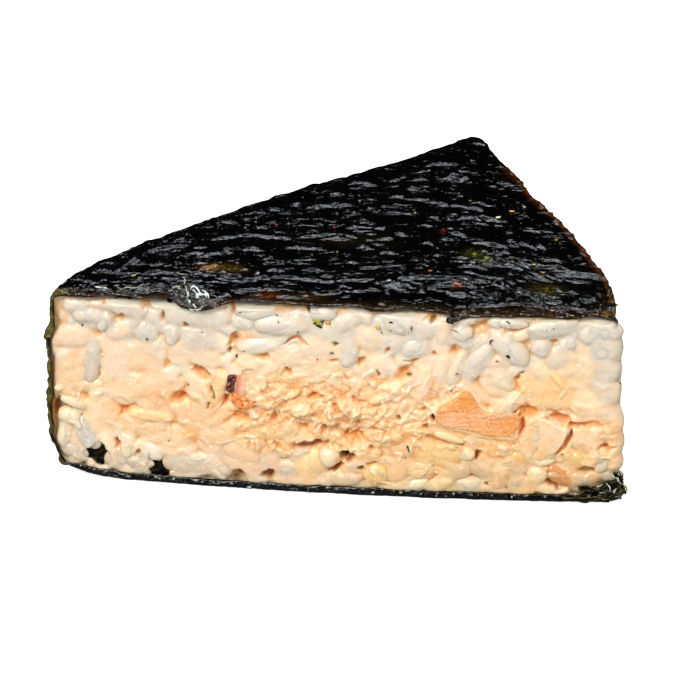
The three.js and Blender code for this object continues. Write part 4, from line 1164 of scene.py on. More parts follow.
h2 = Heap()
xf, zf = mmpx(568, 430.5)
slab(h2, FOLD, lambda X, Z: 0.66 - 0.045 * (xf - X) - 0.02 * (zf - Z), 4.2, fold_tone, fold_relief, rings=34, around=170, round_mm=0.26, times=1)
fold = h2.make("salmon_piece_folded", SALMON_PALE)
root(fold, "salmon_chunk_folded", slot="salmon")

# the seared piece: a bit of dark skin, pink flesh, a speckled flake and the flesh below it
h3 = Heap()


def plain(tone, other, size=1.2, seed=0.0):
    return lambda X, Z: mix(TONE[tone], TONE[other], np.clip(0.35 + 0.6 * perlin(X / size, Z / size, seed), 0, 1)[..., None])


def rough_relief(amount, size, seed):
    return lambda X, Z: amount * perlin(X / size, Z / size, seed)


def blush(X, Z):
    """Deep salmon beside the seared edge, fading to pink."""
    xa = mmpx(234, 386)[0]
    return mix(linear((226, 118, 70)), linear((248, 196, 168)), smooth(X - xa, 0.0, 1.5)[..., None])


slab(h3, [(234, 375.5), (238, 374), (242, 378), (246, 385), (247, 392), (243, 398), (238, 397), (235, 388)], 0.46, 3.5, blush, rough_relief(.1, 1, 2), 18, 80, 0.4)
slab(h3, [(227.5, 376), (231, 374.5), (237.5, 375), (236, 381), (234.5, 387), (233, 393), (228.5, 393.5), (225, 389.5), (227.5, 385), (226.5, 380)], 0.56, 3.5,
     lambda X, Z: mix(mix(TONE["M"], linear((44, 8, 4)), np.clip(0.5 + perlin(X / .5, Z / .5, 3.), 0, 1)[..., None]), linear((196, 112, 70)), (0.7 * smooth(perlin(X / .35, Z / .35, 8.), .28, .5))[..., None]),
     rough_relief(.26, .5, 5), 18, 80, 0.3)
slab(h3, [(236, 404), (246, 403), (253, 406), (250, 420), (242, 429), (237, 424), (234, 412)], -0.75, 3.0, plain("S", "L", 1.5, 4), rough_relief(.12, 1, 6), 16, 70)


def spark_tone(X, Z):
    c = mix(linear((236, 136, 60)), TONE["S"], np.clip(0.55 + perlin(X / .8, Z / .8, 1.), 0, 1)[..., None])
    c = mix(c, TONE["c"], (0.8 * smooth(perlin(X / .9, Z / .6, 5.5), 0.12, 0.4))[..., None])
    return mix(c, linear((104, 40, 12)), dotted(X, Z, 0.30, 0.30)[..., None] * 0.85)


slab(h3, [(228, 394), (234, 393), (241, 396), (249, 398.5), (256, 402), (260, 399), (259, 405), (254, 409), (250, 408), (245, 412), (237, 409), (232, 404), (230, 399)], 0.60, 3.2, spark_tone,
     lambda X, Z: .13 * perlin(X / .7, Z / .7, 9.) - .05 * dotted(X, Z, 0.30, 0.30), 26, 130, 0.35)
slab(h3, [(252, 403), (256, 401), (259, 401.5), (258, 405), (254, 408.5), (251, 407)], 0.42, 3.0, plain("S", "R", .7, 8), rough_relief(.12, .6, 7), 12, 50, 0.2)
seared = h3.make("salmon_piece_seared", SALMON)
root(seared, "salmon_chunk_seared", slot="salmon")

# ------------------------------------------------------------------ nori
# the wall's plan line, as in the CAD
turn_l, turn_r = math.pi / 2 - SLANT_L, math.pi / 2 - SLANT_R
foot_l = np.array([-HALF + CORNER_L * (1 - math.cos(turn_l)), CORNER_L * math.sin(turn_l)])
foot_r = np.array([HALF - CORNER_R * (1 - math.cos(turn_r)), CORNER_R * math.sin(turn_r)])
reach = ((foot_r[0] - foot_l[0]) * math.sin(SLANT_R) + (foot_r[1] - foot_l[1]) * math.cos(SLANT_R)) / math.sin(SLANT_L + SLANT_R)
apex = foot_l + reach * np.array([math.cos(SLANT_L), math.sin(SLANT_L)])
inner = math.pi - SLANT_L - SLANT_R
setb = CORNER_B / math.tan(inner / 2)
tw = np.array([math.cos(SLANT_R) - math.cos(SLANT_L), -math.sin(SLANT_L) - math.sin(SLANT_R)])
cb = apex + tw / np.linalg.norm(tw) * CORNER_B / math.sin(inner / 2)


def arc(cx, cy, r, a0, a1, n):
    t = np.linspace(a0, a1, n)
    return np.stack([cx + r * np.cos(t), cy + r * np.sin(t)], 1)


line = np.concatenate([
    arc(-HALF + CORNER_L, 0, CORNER_L, math.pi, math.pi - turn_l, 120),
    arc(cb[0], cb[1], CORNER_B, math.pi / 2 + SLANT_L, math.pi / 2 - SLANT_R, 90),
    arc(HALF - CORNER_R, 0, CORNER_R, turn_r, 0, 120),
])
keep = np.append(True, np.hypot(*np.diff(line, axis=0).T) > 1e-6)
line = line[keep]
arc_at = np.append(0, np.cumsum(np.hypot(*np.diff(line, axis=0).T)))
WALL_LEN = arc_at[-1]


def wall_at(s):
    s = np.clip(s, 0, 1)
    w = s * WALL_LEN
    p_ = np.stack([np.interp(w, arc_at, line[:, 0]), np.interp(w, arc_at, line[:, 1])], -1)
    ends = np.minimum(1, np.minimum(s / 0.06, (1 - s) / 0.06))
    for at_, span_, out_, turn in ((0.22, 0.20, 3.2, math.pi / 2 + SLANT_L), (0.85, 0.105, 1.6, math.pi / 2 - SLANT_R)):
        bow = out_ * ends * np.exp(-((s - at_) / span_) ** 4)
        p_ = p_ + bow[..., None] * np.array([math.cos(turn), math.sin(turn)])
    return p_


NS = 252                                 # stations along the wall
SEG = dict(top=176, arc=12, wall=56, low=8, bottom=28)
# stations: even along the wall, closer round the back corner
fine = np.linspace(0, 1, 4001)
wp = wall_at(fine)
tang = np.gradient(wp, axis=0)
ang = np.unwrap(np.arctan2(tang[:, 1], tang[:, 0]))
weight = np.append(0, np.cumsum(WALL_LEN / 4000 + np.abs(np.diff(ang)) * 5))
s = np.interp(np.linspace(0, weight[-1], NS + 1), weight, fine)
W = wall_at(s)
along = np.clip((W[:, 0] + HALF) / WIDTH, 0, 1)
fx = mix(-HALF + 4.4, HALF - 4.4, mix(s, along, 0.5))
F = np.stack([fx, np.zeros_like(fx)], 1)
run = np.hypot(*(W - F).T)
direction = (W - F) / run[:, None]
rad = np.minimum(EDGE, run * 0.55)
prof = []
nt_, na_, nw_, nl_, nb_ = SEG["top"], SEG["arc"], SEG["wall"], SEG["low"], SEG["bottom"]
for k in range(nt_):
    prof.append(((run - rad) * (k / nt_), np.full(NS + 1, THICK)))
for k in range(na_):
    t = k / na_ * math.pi / 2
    prof.append((run - rad + rad * math.sin(t), THICK - rad + rad * math.cos(t)))
for k in range(nw_):
    prof.append((run, mix(THICK - rad, rad, k / nw_)))
for k in range(nl_):
    t = k / nl_ * math.pi / 2
    prof.append((run - rad + rad * math.cos(t), rad - rad * math.sin(t)))
for k in range(nb_ + 1):
    prof.append(((run - rad) * (1 - k / nb_), np.zeros(NS + 1)))
PX = np.stack([p[0] for p in prof])      # rows x stations
PZ = np.stack([p[1] for p in prof])
NT = len(prof) - 1
base = np.stack([F[None, :, 0] + direction[None, :, 0] * PX, F[None, :, 1] + direction[None, :, 1] * PX, PZ], -1)
row = np.arange(NT + 1)[:, None] * np.ones(NS + 1)[None, :]
st = np.ones(NT + 1)[:, None] * s[None, :]
is_top = row < nt_ + na_ * 0.5
is_bottom = row > nt_ + na_ + nw_ + nl_ * 0.5
edge_y = base[..., 1].copy()             # distance back from the cut, before shaping


x0, y0, z0 = base[..., 0], base[..., 1], base[..., 2]
V = base.copy()
near = np.clip(1 - y0 / 2.6, 0, 1)
lip = lip_shape(x0)
up_side = smooth(z0, THICK - 5, THICK - 1.5)
V[..., 2] += np.where(is_top | (z0 > THICK - 3), lip * near ** 1.6 * up_side, 0)
# ragged edge all along the cut
tear = 0.35 + 0.35 * perlin(x0 / 5, z0 / 5, 5.5) + 0.22 * perlin(x0 / 0.8, z0 / 0.8, 2.5) + 0.12 * perlin(x0 / 0.35, z0 / 0.35, 4.5)
V[..., 1] -= tear * np.clip(1 - y0 / 1.2, 0, 1)
# the crumpled bits of the top lip come forward
for cxp, wid, fwd in ((197, 22, 1.0), (140, 16, 0.45), (455, 5, 0.5), (90, 14, 0.3), (372, 6, 0.35)):
    cx = float(on_cut(np.array([float(cxp)]), np.array([300.0]))[0][0])
    V[..., 1] -= fwd * np.exp(-((x0 - cx) / (wid / 6.76)) ** 2) * np.clip(1 - y0 / 3.0, 0, 1) * up_side
# left end: the cut edge of the side wall curls in over the rice
left = smooth(-x0, HALF - 3.4, HALF - 1.0) * np.clip(1 - y0 / 1.6, 0, 1) ** 1.3 * smooth(z0, 0.4, 3) * smooth(THICK - z0, 0.2, 3)
V[..., 0] += left * (0.85 + 0.4 * perlin(z0 / 1.6, 3.3, 0.5))
V[..., 1] -= left * (0.45 + 0.3 * perlin(z0 / 1.4, 9.3, 0.5))
side = smooth(-x0, HALF - 2.2, HALF - 0.4) * np.clip(1 - y0 / 3.2, 0, 1)
for zc, w, o in ((23.2, 0.55, 0.75), (12.0, 0.6, 0.3), (5.6, 0.5, 0.35), (27.0, 1.2, 0.25)):
    V[..., 0] -= side * o * np.exp(-((z0 - zc) / w) ** 2)
bulge = smooth(-x0, HALF - 9, HALF - 0.5) * smooth(z0, 1.2, 5.2) * smooth(26.5 - z0, 0, 5) * smooth(st, 0.6, 0.4)
V[..., 0] -= 0.85 * bulge * np.clip(1 - y0 / 16, 0, 1)
corner = smooth(-x0, HALF - 7, HALF) * np.clip(1 - y0 / 10, 0, 1)
V[..., 0] += heel(z0) * corner ** 1.3
V[..., 2] += 0.7 * smooth(-x0, HALF - 7, HALF) * is_bottom * np.clip(1 - y0 / 10, 0, 1)
# the right-hand wall stands a little fuller than its plan
fuller = smooth(st, 0.60, 0.68) * smooth(0.985 - st, 0, 0.06) * smooth(z0, 1.0, 8.0)
V[..., 0] += 0.85 * fuller * smooth(row, nt_ * 0.5, nt_)
# right wall ends a little behind the cut
right = smooth(st, 0.985, 1.0) * smooth(z0, 1.0, 3.0) * smooth(THICK - z0, 0.6, 2.5)
V[..., 1] += SET_BACK * right
# the loose corner at the right end of the base
low = np.clip(1 - z0 / 6, 0, 1) * np.clip(1 - y0 / 7, 0, 1)
V[..., 0] += FLARE * smooth(x0, HALF - 4, HALF) * low
# base lip turns up a little, so that the black edge shows under the rice
blip = np.where(is_bottom, np.clip(1 - y0 / 2.0, 0, 1) ** 1.5, 0)
V[..., 2] += blip * (0.22 + 0.10 * perlin(x0 / 3.0, 1.2, 0.3))
V = warp(V)

# outward normals of the plain shape
sm = warp(base)
du = np.gradient(sm, axis=1)
dv = np.gradient(sm, axis=0)
Nn = np.cross(du, dv)
Nn /= np.maximum(np.linalg.norm(Nn, axis=-1, keepdims=True), 1e-9)
if (Nn[nt_ // 2, NS // 2, 2]) < 0:
    Nn = -Nn

# wrinkles: long crests, mostly along the cut and falling away to the right, over the lumps of rice below
d1 = np.array([0.93, -0.36, 0.0])
d2 = np.array([0.36, 0.93, 0.0])
P0 = sm
wav = np.stack([perlin(P0[..., 0] / 9, P0[..., 1] / 9, P0[..., 2] / 9 + k) for k in (0.0, 5.0, 9.0)], -1) * 1.6
Pw = P0 + wav
A, B, Cz = Pw @ d1, Pw @ d2, Pw[..., 2]
density = np.clip(0.7 + 0.9 * perlin(P0[..., 0] / 9, P0[..., 1] / 7, 2.0), 0.05, 1.3)


def thin(x, y, z, width, gate):
    """Thin raised creases along the zero lines of a noise, broken into short runs."""
    n = perlin(x, y, z)
    return np.exp(-(n / width) ** 2) * smooth(gate, -0.05, 0.25)


g1 = perlin(A / 4.0, B / 2.5, Cz / 3 + 20)
g2 = perlin(A / 2.6 + 11, B / 1.6, Cz / 2 + 30)
g3 = perlin(A / 3.1 + 31, B / 1.9, Cz / 2 + 50)
h = 0.24 * thin(A / 9.0, B / 3.6, Cz / 3.6, 0.10, g1)
h = h + 0.17 * thin(A / 5.0 + 3, B / 1.9 + 7, Cz / 1.9, 0.13, g2) * density
h = h + 0.10 * thin(A / 2.6 + 9, B / 1.0 + 1, Cz / 1.0, 0.16, g3) * density
h = h + 0.20 * perlin(P0[..., 0] / 4.4, P0[..., 1] / 3.4, P0[..., 2] / 3.4 + 4)
h = h + 0.10 * ridged(A / 6.5, B / 2.4, Cz / 2.4, 1.5)
h = h + 0.022 * perlin(A / 1.0, B / 0.5, Cz / 0.5)
# the lip zone along the cut is more crumpled
front_zone = np.clip(1 - y0 / 9, 0, 1) * np.where(is_top, 1, 0)
h = h + front_zone * (0.20 * thin(A / 4.2 + 2, B / 1.4 + 5, 0.7, 0.14, g3) + 0.10 * thin(A / 1.8, B / 0.8, 3.7, 0.2, g1 + 0.1))


def crest(points, height, width):
    """A ridge that follows a line seen on the top."""
    p = np.array(points, float)
    X, Y = on_top(p[:, 0], p[:, 1])
    best = np.full(P0.shape[:2], 1e9)
    for a in range(len(X) - 1):
        ax, ay, bx_, by_ = X[a], Y[a], X[a + 1], Y[a + 1]
        L2 = (bx_ - ax) ** 2 + (by_ - ay) ** 2
        t = np.clip(((P0[..., 0] - ax) * (bx_ - ax) + (P0[..., 1] - ay) * (by_ - ay)) / L2, 0, 1)
        dd = np.hypot(P0[..., 0] - ax - t * (bx_ - ax), P0[..., 1] - ay - t * (by_ - ay))
        best = np.minimum(best, dd)
    k = np.exp(-(best / width) ** 2) * np.where(z0 > THICK - 2.5, 1, 0)
    return height * k * (0.75 + 0.35 * perlin(P0[..., 0] / 1.3, P0[..., 1] / 1.3, 5.0))


# raised crests on the flap and near it; they are also painted pale grey along their length as painted glint
GLINT_CRESTS = ([(181, 287), (183, 293), (186, 299), (192, 303), (201, 304)], [(190, 296), (196, 292), (203, 295), (207, 301)],
          [(206, 304), (214, 300), (224, 300)], [(176, 296), (180, 302), (186, 306)], [(118, 294), (128, 291), (138, 289), (151, 288)],
          [(122, 297), (133, 294), (146, 293)], [(99, 290), (108, 292)])
painted_glint = 0.0
for pts in GLINT_CRESTS:
    k = crest(pts, 1.0, 0.34)
    painted_glint = np.maximum(painted_glint, k)
    h = h + 0.55 * k
for pts, hh, ww in (
    ([(480, 266), (495, 260.5), (510, 259), (525, 260.5), (536, 264), (554, 267), (566, 271.5), (580, 274), (606, 277)], 0.55, 0.5),
    ([(400, 278), (429, 276.5), (458, 278), (488, 281), (502, 284), (514, 291), (529, 294), (541, 300), (561, 301.5)], 0.5, 0.45),
    ([(508, 298.5), (516, 292.5), (526, 294), (541, 300.5)], 0.4, 0.4),
    ([(422, 290), (437, 284), (456, 282.5), (470, 285.5), (486, 290)], 0.4, 0.45),
    ([(463, 312), (478, 304.5), (494, 305), (511, 303), (532, 304.5), (561, 308), (580, 301.5), (591, 298.5)], 0.45, 0.45),
    ([(119, 270), (128.5, 263.5), (140.5, 256.5), (147, 252.5), (156.5, 249), (173, 245.5), (185.5, 245)], 0.4, 0.4),
    ([(147, 273), (161, 269.5), (173, 272), (185.5, 271), (210, 274)], 0.35, 0.4),
    ([(201, 269), (207, 266.5), (217, 266), (224, 270)], 0.4, 0.3),
    ([(222, 272), (250, 279), (285, 276), (330, 281), (370, 279), (400, 285)], 0.4, 0.5),
    ([(240, 290), (280, 288), (320, 293), (360, 290)], 0.35, 0.45),
    ([(310, 206), (340, 203), (372, 208)], 0.3, 0.4), ([(352, 226), (385, 228), (410, 236)], 0.3, 0.4),
    ([(395, 196), (425, 199), (452, 205), (480, 208)], 0.3, 0.45), ([(455, 232), (478, 240), (505, 246), (520, 243)], 0.35, 0.45),
    ([(300, 236), (335, 233), (370, 240), (392, 238)], 0.3, 0.4), ([(215, 238), (250, 234), (290, 238)], 0.3, 0.4),
    ([(438, 170), (452, 178), (468, 178)], 0.3, 0.4), ([(355, 182), (385, 186), (400, 184)], 0.25, 0.4),
):
    h = h + crest(pts, hh, ww)
on_wall = smooth(THICK - 0.6 - z0, 0, 1.5) * smooth(z0, 0.5, 1.8) * smooth(row, nt_ * 0.9, nt_ + na_ * 0.5)
run_ = st * WALL_LEN
h = h + on_wall * (0.16 * thin(run_ / 5.0 + 0.3 * P0[..., 2] / 5, P0[..., 2] / 2.2, 7.7, 0.13, perlin(run_ / 9, P0[..., 2] / 6, 3.0))
                   + 0.09 * thin(run_ / 2.4, P0[..., 2] / 1.3, 2.2, 0.15, perlin(run_ / 5, P0[..., 2] / 4, 8.0)))
# crumples: tight folds at the flap, near the left corner and at the loose corner below right
def crumple(cx, cy, cz_, rx, ry, rz, amount, size):
    k = np.exp(-((P0[..., 0] - cx) / rx) ** 2 - ((P0[..., 1] - cy) / ry) ** 2 - ((P0[..., 2] - cz_) / rz) ** 2)
    f_ = ridged(P0[..., 0] / size + 3, P0[..., 1] / size, P0[..., 2] / size + 8, 1.2) * 1.6 - 0.5
    return amount * k * f_


for args in ((-20.5, 0, 30, 3.4, 2.2, 3, 0.8, 1.1), (-29.5, 0, 30, 2.6, 1.6, 3, 0.6, 0.9), (-38, 0, 30, 3.2, 2.5, 3, 0.4, 1.2),
             (41, 0, 2, 3.4, 4, 3.5, 0.9, 1.2), (40, 1, 30, 2.4, 3.5, 2, 0.55, 1.0), (-41.5, 0, 14, 1.6, 1.8, 14, 0.4, 1.5),
             (18, 0, 30, 1.4, 1.2, 2, 0.5, 0.8), (-24.2, 1.5, 30, 1.4, 3.5, 3, 0.5, 0.8)):
    h = h + crumple(*args)
# the back right edge is a torn, doubled rim
back_right = smooth(st, 0.62, 0.66) * np.exp(-((row - (nt_ + 3)) / 5.0) ** 2)
h = h + back_right * (0.10 + 0.35 * np.clip(perlin(st * WALL_LEN / 1.1, row / 4.0, 3.0), -0.2, 1) + 0.2 * perlin(st * WALL_LEN / 0.5, row / 3.0, 6.0))
# overlap of the sheet's two ends: one step down the left wall, one across the base
seam = smooth(st * WALL_LEN, 20.0, 20.35) * (1 - smooth(st * WALL_LEN, 45.0, 47.0))
fold_line = row > nt_ + na_ * 0.4
h = h + 0.22 * seam * fold_line * (1 - is_bottom * 0.6)
flat_base = smooth(z0, 0.0, 1.6)
h = h * mix(0.22, 1.0, flat_base) * mix(1, 0.75, smooth(z0, 1, 28) * (~is_top))
h = np.clip(h - 0.12, -0.25, 0.6)
OUT = V + Nn * h[..., None]
OUT[..., 2] = np.maximum(OUT[..., 2], 0.03)
OUT[..., 2] = np.where(OUT[..., 2] > 30.9, 30.9 + 0.32 * np.tanh((OUT[..., 2] - 30.9) / 0.32), OUT[..., 2])
INN = (V - Nn * 0.36)[::4, ::4]
INN[..., 2] = np.maximum(INN[..., 2], 0.22)

# colour: near-black, brown and olive where the sheet is thin, torn or loose
black = linear((2, 2, 2))
cn = np.broadcast_to(black, OUT.shape).copy()
nz = perlin(P0[..., 0] / 1.6, P0[..., 1] / 1.6, P0[..., 2] / 1.6)
nf = perlin(P0[..., 0] / 0.5, P0[..., 1] / 0.5, P0[..., 2] / 0.5)


def tint(amount, rgb):
    global cn
    cn = mix(cn, linear(rgb), np.clip(amount, 0, 1)[..., None])


tint(0.55 * np.exp(-(y0 / 1.5) ** 2) * (0.6 + nz), (58, 34, 14))
tint(0.5 * np.exp(-(y0 / 0.8) ** 2) * (0.2 + nf), (120, 84, 28))
tint(back_right * (0.35 + nf), (122, 62, 18))
tint(0.95 * smooth(-x0, HALF - 4, HALF - 1) * np.clip(1 - y0 / 3, 0, 1) * (0.45 + nz + 0.6 * nf), (128, 112, 34))
tint(0.9 * np.exp(-((x0 - 41) / 3) ** 2 - (z0 / 3) ** 2 - (y0 / 4) ** 2) * (0.2 + nf), (120, 106, 30))
tint(0.8 * np.exp(-((x0 - 40.5) / 2) ** 2 - ((z0 - THICK) / 2) ** 2 - (y0 / 5) ** 2) * (0.2 + nz + nf), (134, 108, 36))
# painted glint: pale grey along the crests
tint(painted_glint * (0.55 + 0.8 * nf), (104, 108, 108))
for pxp, pyp, rx, ry, rgb, am in ((268, 296, 12, 5, (120, 58, 22), 1.0), (228, 268, 14, 4, (110, 84, 30), .7), (210, 267, 9, 3, (170, 120, 50), .9),
                                  (305, 297, 20, 4, (86, 58, 22), .6), (475, 254, 9, 5, (90, 96, 28), .7), (486, 261, 6, 4, (110, 110, 34), .7),
                                  (545, 290, 14, 6, (104, 92, 34), .6), (560, 312, 44, 5, (52, 18, 10), .8), (500, 312, 40, 5, (58, 34, 14), .6),
                                  (415, 307, 30, 4, (70, 56, 22), .6), (458, 285, 5, 2.5, (150, 66, 36), .9), (443, 231, 3, 2, (120, 22, 30), .9),
                                  (565, 214, 8, 6, (110, 76, 24), .7), (545, 196, 8, 8, (70, 48, 18), .5), (505, 170, 6, 10, (64, 34, 14), .5),
                                  (355, 240, 30, 6, (46, 40, 16), .5), (140, 290, 20, 5, (60, 44, 20), .6)):
    X, Y = on_top(np.array([float(pxp)]), np.array([float(pyp)]))
    sx, sy = rx / 6.76, ry / 3.17
    k = np.exp(-((P0[..., 0] - X[0]) / sx) ** 2 - ((P0[..., 1] - Y[0]) / sy) ** 2) * np.where(z0 > THICK - 3, 1, 0)
    tint(am * k * (0.45 + nf * 1.2), rgb)

m, nt, p = material("nori_sheet_material")
tone = add(nt, "ShaderNodeVertexColor", layer_name="tone")
big_n, fine_n = noise(nt, 3.5, 4), noise(nt, 0.5, 3)
c = blend_colour(nt, span(nt, big_n, 0, 0.75, 0.45, 0.7), tone.outputs[0], (0.55, 0.75, 0.62), "MULTIPLY")
c = blend_colour(nt, span(nt, fine_n, 0, 0.045, 0.68, 0.82), c, tuple(linear((30, 26, 14))))
nt.links.new(c, p.inputs["Base Color"])
nt.links.new(span(nt, noise(nt, 7.0, 4, 0.65), 0.045, 0.13, 0.35, 0.68), p.inputs["Roughness"])
p.inputs["IOR"].default_value = 1.48
bump(nt, [(noise(nt, 0.60, 3, 0.58, (2.6, 1, 1), (0, 0, math.radians(14))), 0.085), (noise(nt, 1.5, 3, 0.6, (2.2, 1, 1), (0, 0, math.radians(-8))), 0.17), (noise(nt, 0.32, 2, 0.5), 0.014)], p)
NORI = m

v, f, used = shell(OUT, INN, 4)
ncol = np.concatenate([cn.reshape(-1, 3), np.broadcast_to(linear((14, 15, 9)), (INN.shape[0] * INN.shape[1], 3))])[used]
nh = Heap()
nh.add(v, f, ncol)


def crumpled_patch(origin, along_, across, normal, size_u, size_v, fold, seed, rgb=(9, 10, 9), rim_rgb=(110, 96, 30), n=54, mth=34, shine=0.0, shine_rgb=(150, 154, 152)):
    """A loose scrap of sheet, tightly folded, with a ragged outline."""
    o, a_, b_, n_ = (np.asarray(q_, float) for q_ in (origin, along_, across, normal))
    U, Vv = np.meshgrid(np.linspace(-1, 1, n), np.linspace(-1, 1, mth), indexing="xy")
    edge_u = 1 + 0.22 * perlin(Vv * 3 + seed, 1.5, 0.5) + 0.10 * perlin(Vv * 11 + seed, 2.5, 0.5)
    edge_v = 1 + 0.22 * perlin(U * 3 + seed, 4.5, 0.5) + 0.12 * perlin(U * 12 + seed, 5.5, 0.5)
    p_ = o + a_ * (U * edge_u * size_u)[..., None] + b_ * (Vv * edge_v * size_v)[..., None]
    hh, ridge_ = np.zeros_like(U), np.zeros_like(U)
    for i_ in range(4):
        th_ = seed * 2.3 + i_ * 0.95
        ph_ = (U * math.cos(th_) * 1.5 + Vv * math.sin(th_)) * (2.2 + 1.3 * i_) + seed * (i_ + 1)
        ridge_ = np.maximum(ridge_, np.clip(np.sin(ph_ + 0.5 * perlin(U * 3, Vv * 3, seed + i_)), 0, 1) ** 44)
        hh = hh + np.arcsin(np.sin(ph_)) * (0.55 / (1 + 0.7 * i_))
    hh = fold * (hh * 0.6 + 0.5 * perlin(U * 1.2, Vv * 1.2, seed))
    sheet_ = p_ + n_ * hh[..., None]
    sh_u = fold * 0.5 * perlin(U * 2, Vv * 2, seed + 3)
    sheet_ = sheet_ + a_ * sh_u[..., None]
    gu, gv = np.gradient(sheet_, axis=1), np.gradient(sheet_, axis=0)
    nn = np.cross(gu, gv)
    nn /= np.maximum(np.linalg.norm(nn, axis=-1, keepdims=True), 1e-9)
    topv, botv = sheet_ + nn * 0.06, sheet_ - nn * 0.06
    near_rim = np.clip(np.maximum(np.abs(U), np.abs(Vv)) * 4 - 3.1, 0, 1)
    cc = mix(np.broadcast_to(linear(rgb), sheet_.shape), linear(rim_rgb), (near_rim * (0.5 + 0.6 * perlin(U * 6, Vv * 6, seed)))[..., None])
    cc = mix(cc, linear((90, 74, 26)), (0.35 * np.clip(perlin(U * 3, Vv * 3, seed + 7), 0, 1))[..., None])
    # painted highlight: the fold crests are painted in the shine colour
    lit_ = shine * ridge_ * smooth(perlin(U * 4, Vv * 4, seed + 9), -0.15, 0.3)
    cc = mix(cc, linear(shine_rgb), lit_[..., None])
    vv, ff, uu = shell(topv, botv, 1)
    allc = np.concatenate([cc.reshape(-1, 3), cc.reshape(-1, 3)])[uu]
    vv = vv.copy()
    vv[:, 2] = np.clip(vv[:, 2], 0.04, 31.22)
    nh.add(vv, ff, allc)


def warped_point(x, y, z):
    return warp(np.array([[float(x), float(y), float(z)]]))[0]


# loose corner low on the right
crumpled_patch(warped_point(40.4, -1.0, 2.3), (0.95, 0.05, 0.24), (-0.2, -0.2, 0.95), (0.1, -0.98, -0.1), 3.2, 1.5, 0.55, 1.3, rgb=(3, 3, 2), rim_rgb=(84, 74, 28), shine=0.4, shine_rgb=(140, 134, 96))
crumpled_patch(warped_point(43.2, -0.5, 3.4), (0.25, 0.1, -0.95), (0.95, 0.1, 0.25), (0.1, -1, 0.1), 2.2, 0.55, 0.3, 4.3, rgb=(3, 3, 2), n=40, mth=22, shine=0.4, shine_rgb=(150, 140, 70))
crumpled_patch(warped_point(37.6, -1.2, 1.0), (1, 0.0, 0.1), (0, -0.5, 0.85), (0.0, -0.85, -0.5), 2.6, 0.5, 0.25, 8.3, n=40, mth=18)
# crumpled flap of the top lip, front left, and the smaller one beside it
crumpled_patch(warped_point(-21.2, 2.1, 30.15), (0.99, -0.05, -0.03), (0.05, 0.97, 0.24), (0, -0.24, 0.97), 3.1, 2.0, 0.55, 2.7, rgb=(3, 3, 3), rim_rgb=(46, 34, 24), shine=0.45, shine_rgb=(250, 252, 252))
crumpled_patch(warped_point(-19.6, 0.3, 29.9), (0.95, -0.05, -0.1), (0.05, 0.8, 0.55), (0, -0.55, 0.8), 1.5, 0.8, 0.3, 6.1, rgb=(3, 3, 3), rim_rgb=(60, 34, 20), n=36, mth=22, shine=0.5, shine_rgb=(240, 244, 244))
crumpled_patch(warped_point(-29.6, 2.0, 30.3), (0.99, 0, 0.05), (0, 0.98, 0.15), (0, -0.15, 0.98), 2.4, 1.3, 0.28, 5.9, rim_rgb=(100, 92, 70), n=44, mth=24, shine=0.7)
# the sheet showing through the two gaps low on the left
for gx, gy, gw, gh in GAPS:
    gX, gZ = mmpx(gx, gy)
    crumpled_patch(warp(np.array([[gX, 0.42, gZ]]))[0], (1, 0, 0.1), (-0.1, 0, 1), (0, -1, 0), gw + 0.5, gh + 0.4, 0.14, gx * 0.1,
                   rgb=(4, 4, 3), rim_rgb=(12, 10, 7), n=28, mth=24)
# scraps at the right end of the top lip and at the left corner
crumpled_patch(warped_point(40.2, 3.4, 30.1), (0.9, -0.3, -0.05), (0.3, 0.9, 0.05), (0, 0, 1), 1.2, 2.4, 0.22, 7.7, rim_rgb=(150, 122, 44), n=36, mth=34)
crumpled_patch(warped_point(-37.6, 1.3, 30.2), (1, 0, 0), (0, 0.95, 0.25), (0, -0.25, 0.95), 2.0, 0.9, 0.2, 9.1, rim_rgb=(150, 130, 90), n=32, mth=20)
crumpled_patch(warped_point(17.6, -0.8, 29.55), (1, 0, -0.2), (0.1, 0.3, 0.95), (0, -0.95, 0.3), 0.55, 0.42, 0.14, 3.9, rim_rgb=(60, 34, 16), n=24, mth=18)


